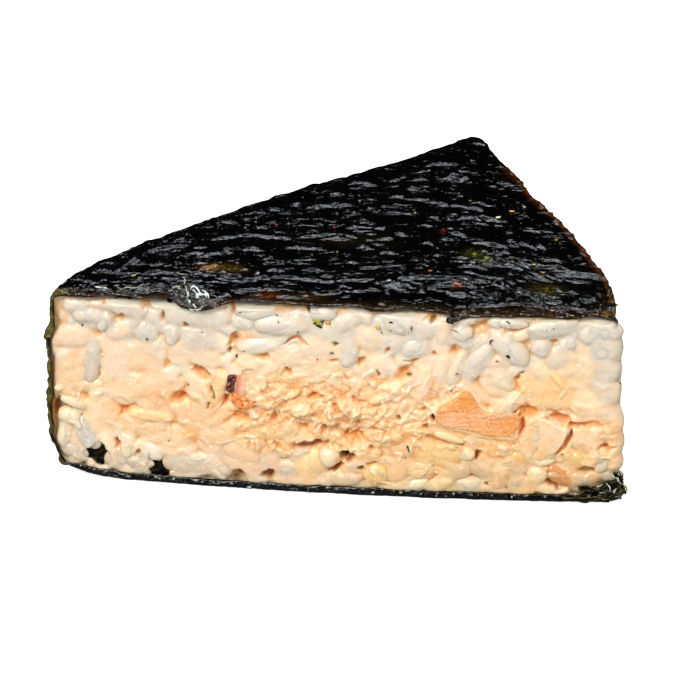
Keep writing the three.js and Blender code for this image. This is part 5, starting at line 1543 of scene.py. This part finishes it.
def crease_tint_and_glint(points, radius, rgb, drop=0.42, front=None):
    """One sharp raised crease standing on the crumpled flap, drawn on the picture; the pale ones are painted glints,
    the olive and brown ones the sheet's own colour.
    """
    pts_ = np.array(points, float)
    at_ = np.append(0, np.cumsum(np.hypot(*np.diff(pts_, axis=0).T)))
    n_ = max(8, int(at_[-1] / 0.8))
    w_ = np.linspace(0, at_[-1], n_)
    px_, py_ = np.interp(w_, at_, pts_[:, 0]), np.interp(w_, at_, pts_[:, 1])
    z_ = np.full(n_, 30.5)
    for _ in range(3):
        X_, Y_ = on_top(px_, py_, z_)
        z_ = np.minimum(30.15 + 0.247 * (Y_ - 2.1) + drop, 31.0)
    if front is not None:
        X_, z_ = on_cut(px_, py_, front)
        Y_, z_ = np.full(n_, -front), np.maximum(z_, 0.25)
    c_ = np.stack([X_ + 0.22 * perlin(w_ / 1.7, pts_[0, 0], 1.5), Y_ + 0.25 * perlin(w_ / 1.4, pts_[0, 1], 4.5), z_ + 0.10 * perlin(w_ / 1.5, pts_[0, 1], 2.5)], -1)
    d_ = np.gradient(c_, axis=0)
    d_ /= np.linalg.norm(d_, axis=1, keepdims=True)
    side_ = np.cross(d_, np.array([0, -0.3, 0.95]))
    side_ /= np.linalg.norm(side_, axis=1, keepdims=True)
    up_ = np.cross(side_, d_)
    ph_ = np.linspace(0, 2 * math.pi, 7)[:-1]
    rr = radius * (0.25 + 0.75 * np.sin(np.linspace(0.1, math.pi - 0.1, n_))) * np.clip(1 + 1.3 * perlin(w_ / 1.3, pts_[0, 0], 7.5), 0.3, 2.0)
    ring__ = (c_[:, None] + side_[:, None] * (rr[:, None] * np.cos(ph_))[..., None] + up_[:, None] * (rr[:, None] * 0.8 * np.sin(ph_))[..., None]).reshape(-1, 3)
    verts_ = warp(np.concatenate([c_[:1], ring__, c_[-1:]]))
    verts_[:, 2] = np.minimum(verts_[:, 2], 31.25)
    idx_ = 1 + np.arange(n_ * 6).reshape(n_, 6)
    nxt_ = np.roll(idx_, -1, 1)
    quads_ = np.stack([idx_[:-1], idx_[1:], nxt_[1:], nxt_[:-1]], -1).reshape(-1, 4)
    tris_ = np.concatenate([np.stack([np.zeros(6, int), idx_[0], nxt_[0]], 1), np.stack([np.full(6, n_ * 6 + 1), nxt_[-1], idx_[-1]], 1)])
    nh.add(verts_, [tris_, quads_], linear(rgb) * (0.75 + 0.5 * np.clip(0.5 + perlin(verts_[:, 0] / 0.5, verts_[:, 1] / 0.5, 3.0), 0, 1))[:, None])


# painted glints: the pale creases; the olive and brown ones are the sheet's own colour
for pts_, rad_, rgb_ in (([(185.8, 290), (187.5, 295), (190, 300), (189, 305)], 0.13, (205, 208, 206)),
                         ([(190, 292.5), (194, 290), (198, 292.5), (200, 296), (205, 296), (208, 298.5)], 0.17, (236, 238, 238)),
                         ([(191.7, 298.3), (197.5, 297.5), (200, 301), (203, 299), (209, 301)], 0.15, (230, 234, 234)),
                         ([(188, 305), (193, 306.6), (200, 306), (207.5, 304.5), (216.7, 303)], 0.12, (220, 224, 222)),
                         ([(194, 300.5), (196, 305.5)], 0.16, (236, 238, 238)), ([(204, 301), (208, 303), (213, 301.5)], 0.10, (200, 204, 204)),
                         ([(183, 281), (186, 285), (184.5, 289)], 0.10, (190, 192, 180)), ([(176.7, 290), (181, 292.5)], 0.10, (170, 166, 96)),
                         ([(211.7, 296.7), (220, 298), (230, 296.5)], 0.08, (160, 164, 166)), ([(118, 293), (126, 290), (135, 291), (144, 288)], 0.08, (170, 172, 166)),
                         ([(122, 296.5), (131, 294), (140, 295)], 0.07, (150, 152, 146)), ([(97, 290), (106, 292), (112, 291)], 0.06, (150, 146, 120)),
                         ([(172, 297), (178, 301), (184, 305)], 0.08, (96, 62, 38)), ([(193, 293), (197, 296), (199, 299)], 0.16, (240, 242, 242)),
                         ([(203, 293), (208, 296), (210, 300)], 0.13, (232, 236, 236)), ([(186, 297), (191, 302), (192, 305)], 0.11, (214, 216, 214)),
                         ([(201, 303), (206, 300.5)], 0.13, (232, 236, 236)), ([(250, 292), (262, 294), (270, 292)], 0.06, (150, 154, 156))):
    crease_tint_and_glint(pts_, rad_, rgb_)
# and of the crumpled corner low on the right
for pts_, rad_, rgb_ in (([(612, 475), (617.5, 479), (620.8, 484)], 0.12, (206, 208, 196)), ([(618.5, 471), (620.3, 477)], 0.09, (150, 150, 130)),
                         ([(606, 483), (610, 487), (610, 492)], 0.13, (212, 214, 204)), ([(596, 487), (603.3, 484.5)], 0.10, (190, 190, 170)),
                         ([(616.5, 488), (613.5, 493)], 0.10, (206, 206, 190)), ([(622, 484), (626, 487), (627, 492)], 0.16, (150, 146, 56)),
                         ([(599, 492), (605, 493.5)], 0.08, (160, 160, 140)), ([(594, 497), (601, 499), (608, 499.5)], 0.12, (96, 84, 30)),
                         ([(621, 470), (623, 476), (623, 482)], 0.12, (84, 80, 30)), ([(600, 480), (604, 477.5)], 0.08, (150, 150, 140))):
    crease_tint_and_glint(pts_, rad_, rgb_, front=1.75)
nori = nh.make("nori_sheet", NORI)
root(nori, "nori_wrap", slot="nori")

# the cut edge of the base, turned up a little along the rice
ex, et = np.meshgrid(np.linspace(-40.4, 41.8, 560), np.linspace(0, 1, 11))
tall = (0.98 + 0.26 * perlin(ex / 2.6, 3.1, 0.5) + 0.16 * perlin(ex / 0.7, 7.7, 0.5)) * (0.35 + 0.65 * smooth(ex, -40.4, -37.5))
turned = np.stack([ex + 0.05 * perlin(ex / 0.9, et * 2, 2.5),
                   -0.50 - 0.16 * perlin(ex / 2.2, 1.3, 6.5) - 0.10 * perlin(ex / 0.55, et * 1.6, 4.5) + 0.16 * et ** 2,
                   0.14 + 0.75 * smooth(-ex, HALF - 7, HALF - 1) + tall * et], -1)
edge_front, edge_back = warp(turned + np.array([0, -0.07, 0])), warp(turned + np.array([0, 0.07, 0]))
v, f, used = shell(edge_front, edge_back, 1)
ecol = mix(np.broadcast_to(linear((9, 9, 7)), turned.shape), linear((92, 78, 34)), (0.55 * smooth(et, 0.75, 1.0) * (0.3 + perlin(ex / 0.6, et * 3, 9.5)))[..., None])
eh = Heap()
eh.add(v, f, np.concatenate([ecol.reshape(-1, 3), ecol.reshape(-1, 3)])[used])
base_edge = eh.make("nori_base_edge", NORI)
root(base_edge, slot="nori")

# ------------------------------------------------------------------ flecks
def fleck(heap, centre, a_, b_, n_, la, lb, th, rgb, seed, n=10):
    """A small thin leaf bit with a bent, ragged outline."""
    t = np.linspace(0, 2 * math.pi, n, endpoint=False)
    r = 1 + 0.35 * perlin(np.cos(t) * 1.5 + seed, np.sin(t) * 1.5, seed)
    P = np.asarray(centre, float) + np.outer(np.cos(t) * r * la, a_) + np.outer(np.sin(t) * r * lb, b_)
    mid = np.asarray(centre, float)
    curl = np.outer(0.25 * la * np.cos(t) ** 2, n_)
    inner_ = mid + (P - mid) * 0.6
    n_ = np.asarray(n_, float)
    verts = np.concatenate([[mid + n_ * th], inner_ + n_ * th * 0.9 + curl * 0.3, P + curl, inner_ - n_ * th * 0.5 + curl * 0.3, [mid - n_ * th * 0.5]])
    i = np.arange(n)
    j = (i + 1) % n
    tris = np.concatenate([np.stack([np.zeros(n, int), 1 + i, 1 + j], 1), np.stack([np.full(n, 3 * n + 1), 1 + 2 * n + j, 1 + 2 * n + i], 1)])
    quads = np.concatenate([np.stack([1 + i, 1 + n + i, 1 + n + j, 1 + j], 1), np.stack([1 + n + i, 1 + 2 * n + i, 1 + 2 * n + j, 1 + n + j], 1)])
    shade = linear(rgb) * (1 + 0.35 * perlin(verts[:, 0] * 3, verts[:, 2] * 3, seed))[:, None]
    heap.add(verts, [tris, quads], shade)


def height_at(x, z):
    """How far the face stands out at one place."""
    i = int(np.argmin(np.abs(q - x)))
    jr = int(np.argmin(np.abs(Zg[:, i] - z)))
    return float(out[jr, i])


# the near-white fleck on the seared skin, at 229.5 389.5, is a painted glint
FLECKS = """
316.5 321.5 7 4 -10 186 178 52|319.5 325 6.5 3 -15 156 152 50|315 324.8 4 2 -20 30 28 12|319 327 6 2.2 -22 22 22 10
324 318.5 5 2.2 70 24 24 12|326.5 320 4 2 -40 28 26 14|322.5 323 3.4 2 60 60 60 20|328 324 5 4.6 -30 214 156 88
317.5 320.4 4 1.4 5 228 222 116
298 332 4.5 2.5 40 128 134 50|378 328 9 6 -50 206 198 96|381.5 333 4 1.6 -60 110 104 40|391 322.5 5.5 3 -5 34 26 16
391 331 5 3 -10 176 170 70|411.6 328 7 2.5 80 104 104 44|508 322 8 2.2 -35 96 96 40|82 326 3.4 3 0 92 78 30
147 339 4 3.4 20 108 90 36|102 357.6 2 2 0 60 40 26|202 333 2.4 1.8 0 110 70 40|168.6 441 2.4 1.8 0 90 46 26
188 386 4 2.6 70 128 112 50|317.5 360 2.4 2.4 0 92 84 74|451.5 389.7 4 2 40 56 48 26|457 373.5 5.5 1.8 5 112 88 44
508 356 7 4.5 -40 44 32 20|497 362 4.5 2 10 120 76 40|408 449 11 2.4 -72 16 12 10|405 459 3.4 1.4 80 24 18 12
553.5 328.5 2.6 2 0 96 92 86|620 385.5 4.5 1.8 -40 24 20 16|562 455 3.6 2 20 70 50 30
240 313.5 3 2 20 74 44 24|229.5 389.5 2 1.2 60 236 226 218|309 311 4 2.4 30 60 30 18|243.5 352 2.4 1.8 0 96 62 40|455 331 14 1.2 -22 96 62 36
"""
fh = Heap()
for i_, item in enumerate(rows(FLECKS)):
    px, py, ln, wd, an, r_, g_, b_ = item
    k_ = 1.2 if i_ < 9 else 0.75
    x, z, la, lb, a = oval(px, py, ln * k_, wd * k_, an)
    gz = height_at(x, z)
    for g in grains:
        if g["real"] >= REAL and inside(g, x, z, 0.95):
            aa, bb = local(g, x, z)
            dp = min(g["lb"] * 2 * 0.80, 2.4)
            gz = max(gz, g["top"] + 0.28 - dp / 2 + dp / 2 * math.sqrt(max(0, 1 - aa * aa - bb * bb)))
    c0 = warp(np.array([[x, -gz - 0.05, z]]))[0]
    ca, sa = math.cos(a), math.sin(a)
    fleck(fh, c0, np.array([ca, 0, sa]), np.array([-sa, 0, ca]), np.array([0, -1.0, 0]), la, lb, 0.10, (r_, g_, b_), 1.7 * i_)


def curl_fleck(heap, px, py, radius, start, sweep, rgb, width=0.13):
    x, z = mmpx(px, py)
    gz = height_at(x, z)
    for g in grains:
        if g["real"] >= REAL and inside(g, x, z, 0.95):
            aa, bb = local(g, x, z)
            dp = min(g["lb"] * 2 * 0.80, 2.4)
            gz = max(gz, g["top"] + 0.28 - dp / 2 + dp / 2 * math.sqrt(max(0, 1 - aa * aa - bb * bb)))
    n, k = 12, 6
    t = np.radians(start + sweep * np.linspace(0, 1, n))
    ph = np.linspace(0, 2 * math.pi, k, endpoint=False)
    w = width * np.sin(np.linspace(0.25, math.pi - 0.25, n)) ** 0.6
    ring = np.stack([x + (radius + w[:, None] * np.cos(ph)) * np.cos(t)[:, None], -gz - 0.02 - w[:, None] * np.sin(ph) + 0 * t[:, None],
                     z + (radius + w[:, None] * np.cos(ph)) * np.sin(t)[:, None]], -1).reshape(-1, 3)
    ends = np.array([[x + radius * math.cos(t[0]), -gz, z + radius * math.sin(t[0])], [x + radius * math.cos(t[-1]), -gz, z + radius * math.sin(t[-1])]])
    verts = np.concatenate([ends[:1], ring, ends[1:]])
    idx = 1 + np.arange(n * k).reshape(n, k)
    nxt = np.roll(idx, -1, 1)
    quads = np.stack([idx[:-1], idx[1:], nxt[1:], nxt[:-1]], -1).reshape(-1, 4)
    tris = np.concatenate([np.stack([np.zeros(k, int), idx[0], nxt[0]], 1), np.stack([np.full(k, n * k + 1), nxt[-1], idx[-1]], 1)])
    heap.add(warp(verts), [tris, quads], linear(rgb))


for px, py, rad_, st_, sw, rgb in ((238, 357, .30, 100, 150, (46, 30, 20)), (280, 321, .26, 150, 150, (128, 108, 92)), (493, 343, .42, 80, 140, (48, 42, 36)),
                                   (332, 355, .24, 20, 170, (70, 60, 48)), (276, 317, .22, 0, 120, (150, 138, 120))):
    curl_fleck(fh, px, py, rad_, st_, sw, rgb)

m, nt, p = material("herb_and_nori_flecks_material")
tone = add(nt, "ShaderNodeVertexColor", layer_name="tone")
c = blend_colour(nt, span(nt, noise(nt, 0.4, 3), 0, 0.6, 0.4, 0.7), tone.outputs[0], (0.7, 0.62, 0.45), "MULTIPLY")
nt.links.new(c, p.inputs["Base Color"])
nt.links.new(span(nt, noise(nt, 0.6, 2), 0.35, 0.6), p.inputs["Roughness"])
bump(nt, [(noise(nt, 0.2, 2), 0.03)], p)
FLECK = m
flecks = fh.make("herb_flecks", FLECK)
root(flecks, slot="nori")

# beads of moisture standing on the grains and the dressing, coloured near white: painted highlights standing in for wet
# sparkle
m, nt, p = material("moisture_and_sparkle_beads_material")
c = blend_colour(nt, span(nt, noise(nt, 0.5, 2), 0, 1, 0.35, 0.65), (0.97, 0.93, 0.87), (0.96, 0.88, 0.77))
nt.links.new(c, p.inputs["Base Color"])
nt.links.new(span(nt, noise(nt, 0.3, 2), 0.03, 0.12), p.inputs["Roughness"])
p.inputs["Coat Weight"].default_value = 1.0
p.inputs["Coat Roughness"].default_value = 0.03
p.inputs["Subsurface Weight"].default_value = 0.25
p.inputs["Subsurface Radius"].default_value = (1.0, 0.8, 0.6)
p.inputs["Subsurface Scale"].default_value = 0.0004
bh = Heap()
beads = 0
for i_ in range(9000):
    if beads >= 620:
        break
    x, z = rng.uniform(-41.2, 41.0), rng.uniform(1.6, 29.2)
    crowd = float(perlin(np.array([x / 3.2]), np.array([z / 2.4]), 12.5)[0])
    if crowd < 0.10 or rng.uniform(0, 1) > crowd * 2.2:
        continue
    gi = int(np.argmin(np.abs(q - x)))
    gj = int(np.argmin(np.abs(Zg[:, gi] - z)))
    gz, on_grain = float(out[gj, gi]), False
    for g in grains:
        if g["real"] >= REAL and inside(g, x, z, 0.9):
            aa, bb = local(g, x, z)
            dp = min(g["lb"] * 2 * 0.80, 2.4)
            gz, on_grain = max(gz, g["top"] + 0.28 - dp / 2 + dp / 2 * math.sqrt(max(0, 1 - aa * aa - bb * bb))), True
    if not on_grain and float(dip[gj, gi]) > -0.02:
        continue
    la = rng.uniform(0.05, 0.11)
    a = rng.uniform(-0.6, 0.9)
    ca, sa = math.cos(a), math.sin(a)
    c0 = warp(np.array([[x + float(inset(np.array([x]), np.array([z]))[0]), -gz - 0.015, z]]))[0]
    fleck(bh, c0, np.array([ca, 0, sa]), np.array([-sa, 0, ca]), np.array([0, -1.0, 0]), la * rng.uniform(1.0, 2.0), la, 0.05, (250, 244, 232), 0.31 * i_, n=8)
    beads += 1
moisture_and_sparkle = bh.make("moisture_and_sparkle_beads", m)
root(moisture_and_sparkle, slot="rice")

# crumbs of rice starch, seaweed and chilli on the top sheet
ch = Heap()
CRUMBS = """
512 211 6 2.4 -2 226 176 60|499 218.5 6 3 20 228 222 196|431 271 5 3 10 150 66 34|443 231 3 2 0 150 20 40|475 254 5 2.4 -20 120 130 30
458 285.5 7 2 25 210 110 80|486 260 4 2 10 150 150 60|277 224 4 1.6 -20 150 24 44|333 227 4 1.6 -15 150 24 44|535 188 4 2 -30 150 120 60
524 207 4 1.8 -20 190 186 170|565 215 6 2.6 -30 190 140 60|557 240 4 3 0 150 116 50|560 243 3 2 0 120 90 40|535 265 5 1.8 -5 200 180 110
543 273 5 2 10 180 140 60|255 222 2 1.6 0 220 220 214|288 224 2.4 1.8 0 222 222 216|246 228 2.6 1.6 0 190 190 150|298 249 2.6 1.8 0 214 214 206
313 255 2.4 1.6 0 190 176 110|336 253 2.6 1.6 0 216 210 180|360 201 3 2 20 230 230 224|414 213 3 2 10 226 226 220|429 172 3.4 2 30 226 226 220
470 201 3 1.6 0 210 190 120|482 290 3 2 60 220 220 214|553 311 5 2 10 196 130 90|521 316 2.6 2.4 0 226 220 204|570 318 2.4 2 0 214 206 196
100 289 8 2 -5 232 230 220|104 291 5 1.6 -20 236 232 222|133 276 6 2 35 190 178 130|236 263 3 1.4 0 214 200 140|512 262 3 1.6 -10 220 214 170
"""
tree_rows, tree_cols = slice(0, nt_ + na_), slice(0, NS + 1)
TOPX, TOPY, TOPZ = OUT[tree_rows, tree_cols, 0], OUT[tree_rows, tree_cols, 1], OUT[tree_rows, tree_cols, 2]
for i_, item in enumerate(rows(CRUMBS)):
    px, py, ln, wd, an, r_, g_, b_ = item
    X, Y = on_top(np.array([px]), np.array([py]))
    k = np.argmin((TOPX - X[0]) ** 2 + (TOPY - Y[0]) ** 2)
    zt = TOPZ.ravel()[k]
    a = math.radians(an)
    a_ = np.array([math.cos(a), math.sin(a), 0])
    b_v = np.array([-math.sin(a), math.cos(a), 0])
    fleck(ch, [TOPX.ravel()[k], TOPY.ravel()[k], zt + 0.08], a_, b_v, np.array([0, 0, 1.0]), ln / 2 / 6.76, wd / 2 / 5.2, 0.10, (r_, g_, b_) if ln > 3.6 else (0.62 * r_, 0.58 * g_, 0.5 * b_), 2.3 * i_ + 5)
crumbs = ch.make("crumbs_on_top", FLECK)
root(crumbs, slot="nori")

# ------------------------------------------------------------------ floor, light, camera
def floor_material():
    m, nt, p = material("floor")
    n = noise(nt, 40, 2)
    c = blend_colour(nt, span(nt, n, 0, 1, 0.3, 0.7), (0.86, 0.86, 0.86), (0.88, 0.88, 0.875))
    nt.links.new(c, p.inputs["Base Color"])
    p.inputs["Roughness"].default_value = 0.9
    p.inputs["Specular IOR Level"].default_value = 0.1
    p.inputs["Emission Color"].default_value = (1, 1, 1, 1)
    p.inputs["Emission Strength"].default_value = 0.72
    return m


me = bpy.data.meshes.new("floor")
me.from_pydata([(-14, -14, -0.0001), (14, -14, -0.0001), (14, 14, -0.0001), (-14, 14, -0.0001)], [], [(0, 1, 2, 3)])
floor = bpy.data.objects.new("floor", me)
me.materials.append(floor_material())
bpy.context.scene.collection.objects.link(floor)
floor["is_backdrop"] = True
floor.visible_diffuse = floor.visible_glossy = False

world = bpy.data.worlds.new("studio")
bpy.context.scene.world = world
world.use_nodes = True
wn = world.node_tree
wn.nodes.clear()
wo = wn.nodes.new("ShaderNodeOutputWorld")
lp = wn.nodes.new("ShaderNodeLightPath")
seen, lit, pick = wn.nodes.new("ShaderNodeBackground"), wn.nodes.new("ShaderNodeBackground"), wn.nodes.new("ShaderNodeMixShader")
seen.inputs[0].default_value, seen.inputs[1].default_value = (1, 1, 1, 1), 1.0
lit.inputs[0].default_value, lit.inputs[1].default_value = (1, 0.985, 0.96, 1), 0.62
dim, soft = wn.nodes.new("ShaderNodeBackground"), wn.nodes.new("ShaderNodeMixShader")
dim.inputs[0].default_value, dim.inputs[1].default_value = (0.9, 0.95, 1, 1), 0.004
co = wn.nodes.new("ShaderNodeTexCoord")
axes = wn.nodes.new("ShaderNodeSeparateXYZ")
wn.links.new(co.outputs["Generated"], axes.inputs[0])
below = wn.nodes.new("ShaderNodeMapRange")
for i_, v_ in ((1, 0.02), (2, -0.12), (3, 0.002), (4, 0.09)):
    below.inputs[i_].default_value = v_
wn.links.new(axes.outputs[2], below.inputs[0])
edge_lo, edge_hi = wn.nodes.new("ShaderNodeMapRange"), wn.nodes.new("ShaderNodeMapRange")
for node_, vals_ in ((edge_lo, (0.775, 0.80, 0.0, 1.0)), (edge_hi, (0.885, 0.855, 0.0, 1.0))):
    for i_, v_ in zip((1, 2, 3, 4), vals_):
        node_.inputs[i_].default_value = v_
    wn.links.new(axes.outputs[2], node_.inputs[0])
ring_, both = wn.nodes.new("ShaderNodeMath"), wn.nodes.new("ShaderNodeMath")
ring_.operation, both.operation = "MULTIPLY", "MULTIPLY_ADD"
wn.links.new(edge_lo.outputs[0], ring_.inputs[0])
wn.links.new(edge_hi.outputs[0], ring_.inputs[1])
wn.links.new(ring_.outputs[0], both.inputs[0])
both.inputs[1].default_value = 4.4
wn.links.new(below.outputs[0], both.inputs[2])



def band(lo0, lo1, hi0, hi1, strength, onto):
    """A soft-edged band of sky seen only in reflections, between two heights."""
    up, down = wn.nodes.new("ShaderNodeMapRange"), wn.nodes.new("ShaderNodeMapRange")
    for node_, vals_ in ((up, (lo0, lo1, 0.0, 1.0)), (down, (hi1, hi0, 0.0, 1.0))):
        for i_, v_ in zip((1, 2, 3, 4), vals_):
            node_.inputs[i_].default_value = v_
        wn.links.new(axes.outputs[2], node_.inputs[0])
    times_, plus_ = wn.nodes.new("ShaderNodeMath"), wn.nodes.new("ShaderNodeMath")
    times_.operation, plus_.operation = "MULTIPLY", "MULTIPLY_ADD"
    wn.links.new(up.outputs[0], times_.inputs[0])
    wn.links.new(down.outputs[0], times_.inputs[1])
    wn.links.new(times_.outputs[0], plus_.inputs[0])
    plus_.inputs[1].default_value = strength
    wn.links.new(onto, plus_.inputs[2])
    return plus_.outputs[0]


seen_in_gloss = band(-0.22, -0.20, -0.15, -0.13, 1.2, both.outputs[0])
seen_in_gloss = band(0.02, 0.06, 0.24, 0.29, 0.008, seen_in_gloss)
wn.links.new(seen_in_gloss, dim.inputs[1])
wn.links.new(lp.outputs["Is Glossy Ray"], soft.inputs[0])
wn.links.new(lit.outputs[0], soft.inputs[1])
wn.links.new(dim.outputs[0], soft.inputs[2])
wn.links.new(lp.outputs["Is Camera Ray"], pick.inputs[0])
wn.links.new(soft.outputs[0], pick.inputs[1])
wn.links.new(seen.outputs[0], pick.inputs[2])
wn.links.new(pick.outputs[0], wo.inputs[0])


def area(name, where, aim, size, power, colour=(1, 1, 1), size_y=None):
    li = bpy.data.lights.new(name, "AREA")
    li.energy, li.size, li.color = power, size, colour
    if size_y:
        li.shape, li.size_y = "RECTANGLE", size_y
    ob = bpy.data.objects.new(name, li)
    ob.location = where
    ob.rotation_mode = "QUATERNION"
    ob.rotation_quaternion = (Vector(aim) - Vector(where)).to_track_quat("-Z", "Y")
    ob.visible_camera = False
    bpy.context.scene.collection.objects.link(ob)
    return ob


area("key", (-0.34, -0.62, 0.74), (0, -0.02, 0.01), 0.34, 7.7, (1.0, 0.985, 0.96))
fill = area("fill", (0.65, -0.85, 0.35), (0, -0.02, 0.01), 0.6, 2.0, (1.0, 0.99, 0.975))
fill.visible_glossy = False
area("over", (0.05, 0.05, 0.95), (0, 0, 0), 0.14, 0.35, (0.97, 0.985, 1.0))
area("rear", (-0.1, 0.62, 0.92), (0, 0, 0.02), 0.40, 1.1, (0.88, 0.94, 1.0), 0.05)
glint = area("glint", (-0.22, -1.0, 0.30), (0, -0.03, 0.015), 0.20, 2.9, (1.0, 1.0, 1.0))
glint.visible_diffuse = False
area("side_right", (0.95, 0.18, 0.42), (0, 0, 0.015), 0.13, 0.8, (0.95, 0.98, 1.0))
area("side_back", (-0.68, 0.70, 0.40), (0, 0, 0.015), 0.13, 0.09, (0.95, 0.98, 1.0))

cam_data = bpy.data.cameras.new("camera")
cam_data.sensor_width = 36
cam_data.lens = FOCAL * 36 / 675
cam_data.clip_start, cam_data.clip_end = 0.05, 60
cam = bpy.data.objects.new("camera", cam_data)
cam.location = tuple(place(EYE))
cam.rotation_mode = "QUATERNION"
cam.rotation_quaternion = Vector(tuple(-BACK)).to_track_quat("-Z", "Y")
bpy.context.scene.collection.objects.link(cam)
bpy.context.scene.camera = cam
bpy.context.scene.view_settings.view_transform = "Standard"

lo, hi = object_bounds()
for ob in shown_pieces():
    print("PIECE", ob.name, sum(len(p.vertices) - 2 for p in ob.data.polygons))
